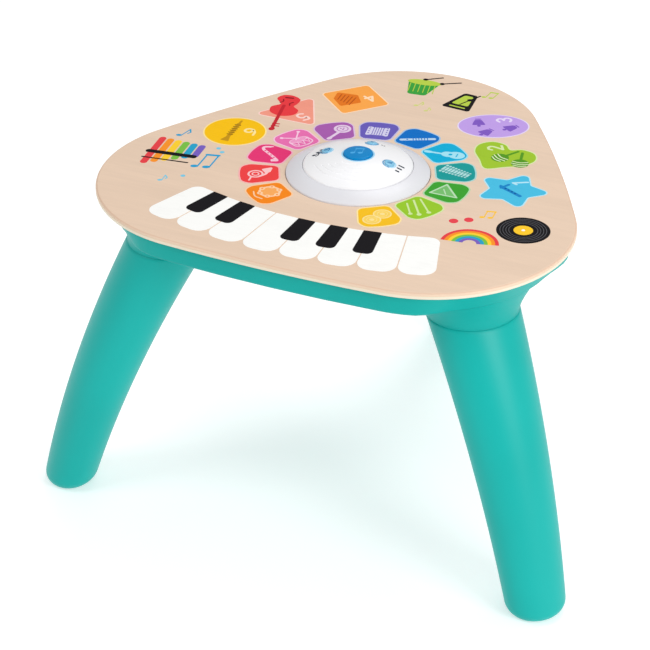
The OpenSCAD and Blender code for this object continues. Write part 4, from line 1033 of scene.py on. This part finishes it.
def make_dome_marks():
    """Prints on the cover, which stays, and on the buttons, which move."""
    ink = Print(lambda place: dome_z(np.hypot(*(place - DOME).T)))
    print_dome(ink)
    ink.finish("dome_marks")
    big = Print(lambda place: crown(np.hypot(*place.T), *MAIN_CAP), (0, 0))
    big.add(note(11, True), (76, 168, 224), 1, (-4, -4.6), 12, 0.9)
    big.finish("main_button_mark", "main_button", origin=(*DOME, 0))
    steps = [line((-2.4 + 1.6 * i, -2), (-2.4 + 1.6 * i, -0.6 + 1.1 * i), 1) for i in range(4)]
    arrow = rounded([(-1.6, -2.4), (2.6, 0), (-1.6, 2.4)], 0.5)
    signs = ((note(6), (0.5, 1.5)), (steps, (0, 0)), (arrow, (0, 0)))
    for (node, angle), (sign, at) in zip(SMALL_BUTTONS.items(), signs):
        small = Print(lambda place: crown(np.hypot(*place.T), *SMALL_CAP), (0, 0))
        small.add(sign, (44, 112, 168), 1, at, -angle, 0.72)
        small.finish(node + "_mark", node, tilt_of(angle), (*DOME, BALL_Z))


def make_prints():
    for name, draw in (("printed_keys", print_keys), ("printed_petals", print_petals),
                       ("printed_shapes", print_shapes), ("printed_pictures", print_pictures)):
        ink = Print()
        draw(ink)
        ink.finish(name)


# ---- finishes of the CAD parts
NODE_FINISHES = {
    "rubber": "foot_pads",
    "film": "touch_film film_ribbon dome_ribbon",
    "board": "dome_board main_board",
    "dark": "button_switches main_board_parts power_switch_body",
    "lamp": "dome_lamps",
    "steel": "dome_board_screws ring_screws battery_door_screw battery_springs battery_plates "
             "speaker_screws main_board_screws tray_screws pod_screws",
    "cell": "batteries",
    "iron": "speaker_frame speaker_magnet",
    "cone": "speaker_cone",
    "dome": "power_slider",
    "red_wire": "speaker_wires",
    "black_wire": "battery_wires switch_wires",
}


def dress_nodes():
    for name, nodes in NODE_FINISHES.items():
        for node in nodes.split():
            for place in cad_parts[node].material_slots:
                place.material = finish(name)


# ---- stage
class TableStage(bpy.types.PropertyGroup):
    azimuth: size_prop("Azimuth", math.radians(24.98), "Turn from the player's side", subtype="ANGLE")
    elevation: size_prop("Elevation", math.radians(31.19), "Height above the horizon", subtype="ANGLE")
    distance: size_prop("Distance", 2.0814, "Camera's distance from what it looks at")
    lens: size_prop("Lens", 116.57, "Focal length in mm on a 36 mm sensor", subtype="DISTANCE_CAMERA")
    target: bpy.props.FloatVectorProperty(
        name="Target", size=3, default=(-0.01304, -0.04452, 0.190), subtype="XYZ", unit="LENGTH",
        description="Point looked at, from the play top's middle")


# Each lamp's name, place, width in metres and power in watts.
LAMPS = [("key", (-1.9, -1.8, 2.4), 1.6, 26), ("fill", (1.0, -1.7, 2.3), 1.2, 6),
         ("side", (2.0, -0.9, 1.05), 1.0, 24), ("top", (0.1, 1.3, 2.7), 1.6, 23)]
LAMP_AIM = (0, -0.06, 0.25)
FLOOR_HALF = 12.0


def make_camera():
    g = bpy.context.scene.table_stage
    camera = linked("camera", bpy.data.cameras.new("camera"))
    a, e = g.azimuth, g.elevation
    back = Vector((math.sin(a) * math.cos(e), -math.cos(a) * math.cos(e), math.sin(e)))
    camera.location = Vector((*MIDDLE, 0)) + Vector(g.target) + back * g.distance
    camera.rotation_euler = back.to_track_quat("Z", "Y").to_euler()
    camera.data.lens = g.lens
    camera.data.sensor_width = 36
    camera.data.clip_end = 100
    bpy.context.scene.camera = camera


def lamp(name, at, size, power):
    light = linked(name, bpy.data.lights.new(name, "AREA"))
    light.location = at
    light.rotation_euler = (Vector(at) - Vector(LAMP_AIM)).to_track_quat("Z", "Y").to_euler()
    light.data.shape = "DISK"
    light.data.size = size
    light.data.energy = power
    light.visible_camera = False


def make_stage():
    """A white floor, a white world and four round lamps that the camera doesn't see."""
    floor = bpy.data.meshes.new("floor")
    corners = ((-1, -1), (1, -1), (1, 1), (-1, 1))
    floor.from_pydata([(FLOOR_HALF * x, FLOOR_HALF * y, 0) for x, y in corners], [], [(0, 1, 2, 3)])
    plane = linked("floor", floor)
    look = Finish("floor", Roughness=0.6, Emission_Strength=0.44)
    look.set("Base Color", (0.78, 0.78, 0.78))
    look.set("Emission Color", (1, 1, 1))
    floor.materials.append(look.material)
    world = bpy.data.worlds.new("studio")
    world.use_nodes = True
    sky = world.node_tree.nodes["Background"].inputs
    sky["Color"].default_value = (1, 1, 1, 1)
    sky["Strength"].default_value = 0.45
    bpy.context.scene.world = world
    for name, at, size, power in LAMPS:
        lamp(name, at, size, power)
    bpy.context.scene.view_settings.view_transform = "Standard"


# ---- operators and panel
def operator(idname, label, text, build):
    """An operator class that builds one piece or one group of like pieces."""

    def execute(self, context):
        build()
        return {"FINISHED"}

    return type("TABLE_OT_" + idname, (bpy.types.Operator,), {
        "bl_idname": "table." + idname, "bl_label": label, "__doc__": "Add the " + text,
        "bl_options": {"REGISTER", "UNDO"}, "execute": execute})


def build_legs():
    for node, angle in (("leg_back", 90), ("leg_left", 210), ("leg_right", 330)):
        make_leg(node, angle)


def build_tray():
    for row in (("base_tray", "tray_shell", "tray"), ("leg_sockets", "socket_shells", "tray"),
                ("electronics_pod", "pod_shell", "pod"), ("battery_door", "door_shell", "pod")):
        smoothed_copy(*row)


OPERATORS = [operator(*row) for row in (
    ("camera", "Camera", "camera that looks at the table", make_camera),
    ("play_top", "Play top", "birch play top", make_top),
    ("tray", "Tray and pod", "smooth tray, sockets and electronics pod", build_tray),
    ("legs", "Legs", "three bowed legs", build_legs),
    ("light_ring", "Light ring", "frosted ring round the dome", make_ring),
    ("prints", "Prints", "printed keys, petals, shapes and pictures", make_prints),
    ("dome", "Dome", "white dome cover", make_dome),
    ("dome_marks", "Dome marks", "printed marks on the dome", make_dome_marks),
    ("main_button", "Main button", "big push button", make_main_button),
    ("small_buttons", "Small buttons", "three small push buttons", make_small_buttons),
    ("finishes", "Finishes", "finishes of all the other parts", dress_nodes),
    ("stage", "Stage", "floor, lights and world", make_stage),
)]


class TABLE_PT_activity(bpy.types.Panel):
    """Lists the table's sizes, colours and pieces."""
    bl_label = "Activity Table"
    bl_idname = "TABLE_PT_activity"
    bl_space_type = "VIEW_3D"
    bl_region_type = "UI"
    bl_category = "Activity Table"

    def draw(self, context):
        for name, (title, kind) in GROUPS.items():
            column = self.layout.box()
            column.label(text=title)
            for prop in kind.__annotations__:
                column.prop(getattr(context.scene, name), prop)
        for kind in OPERATORS:
            self.layout.operator(kind.bl_idname)


GROUPS = {"table_sizes": ("Play top", TableSizes), "leg_sizes": ("Legs", LegSizes),
          "table_colours": ("Colours", TableColours), "table_stage": ("Camera", TableStage)}
CLASSES = [*(kind for _, kind in GROUPS.values()), *OPERATORS, TABLE_PT_activity]


def register():
    for kind in CLASSES:
        bpy.utils.register_class(kind)
    for name, (_, kind) in GROUPS.items():
        setattr(bpy.types.Scene, name, bpy.props.PointerProperty(type=kind))


def unregister():
    for name in GROUPS:
        delattr(bpy.types.Scene, name)
    for kind in reversed(CLASSES):
        bpy.utils.unregister_class(kind)


def main():
    register()
    for kind in OPERATORS:
        getattr(bpy.ops.table, kind.bl_idname.split(".")[1])()


if __name__ == "__main__":
    main()
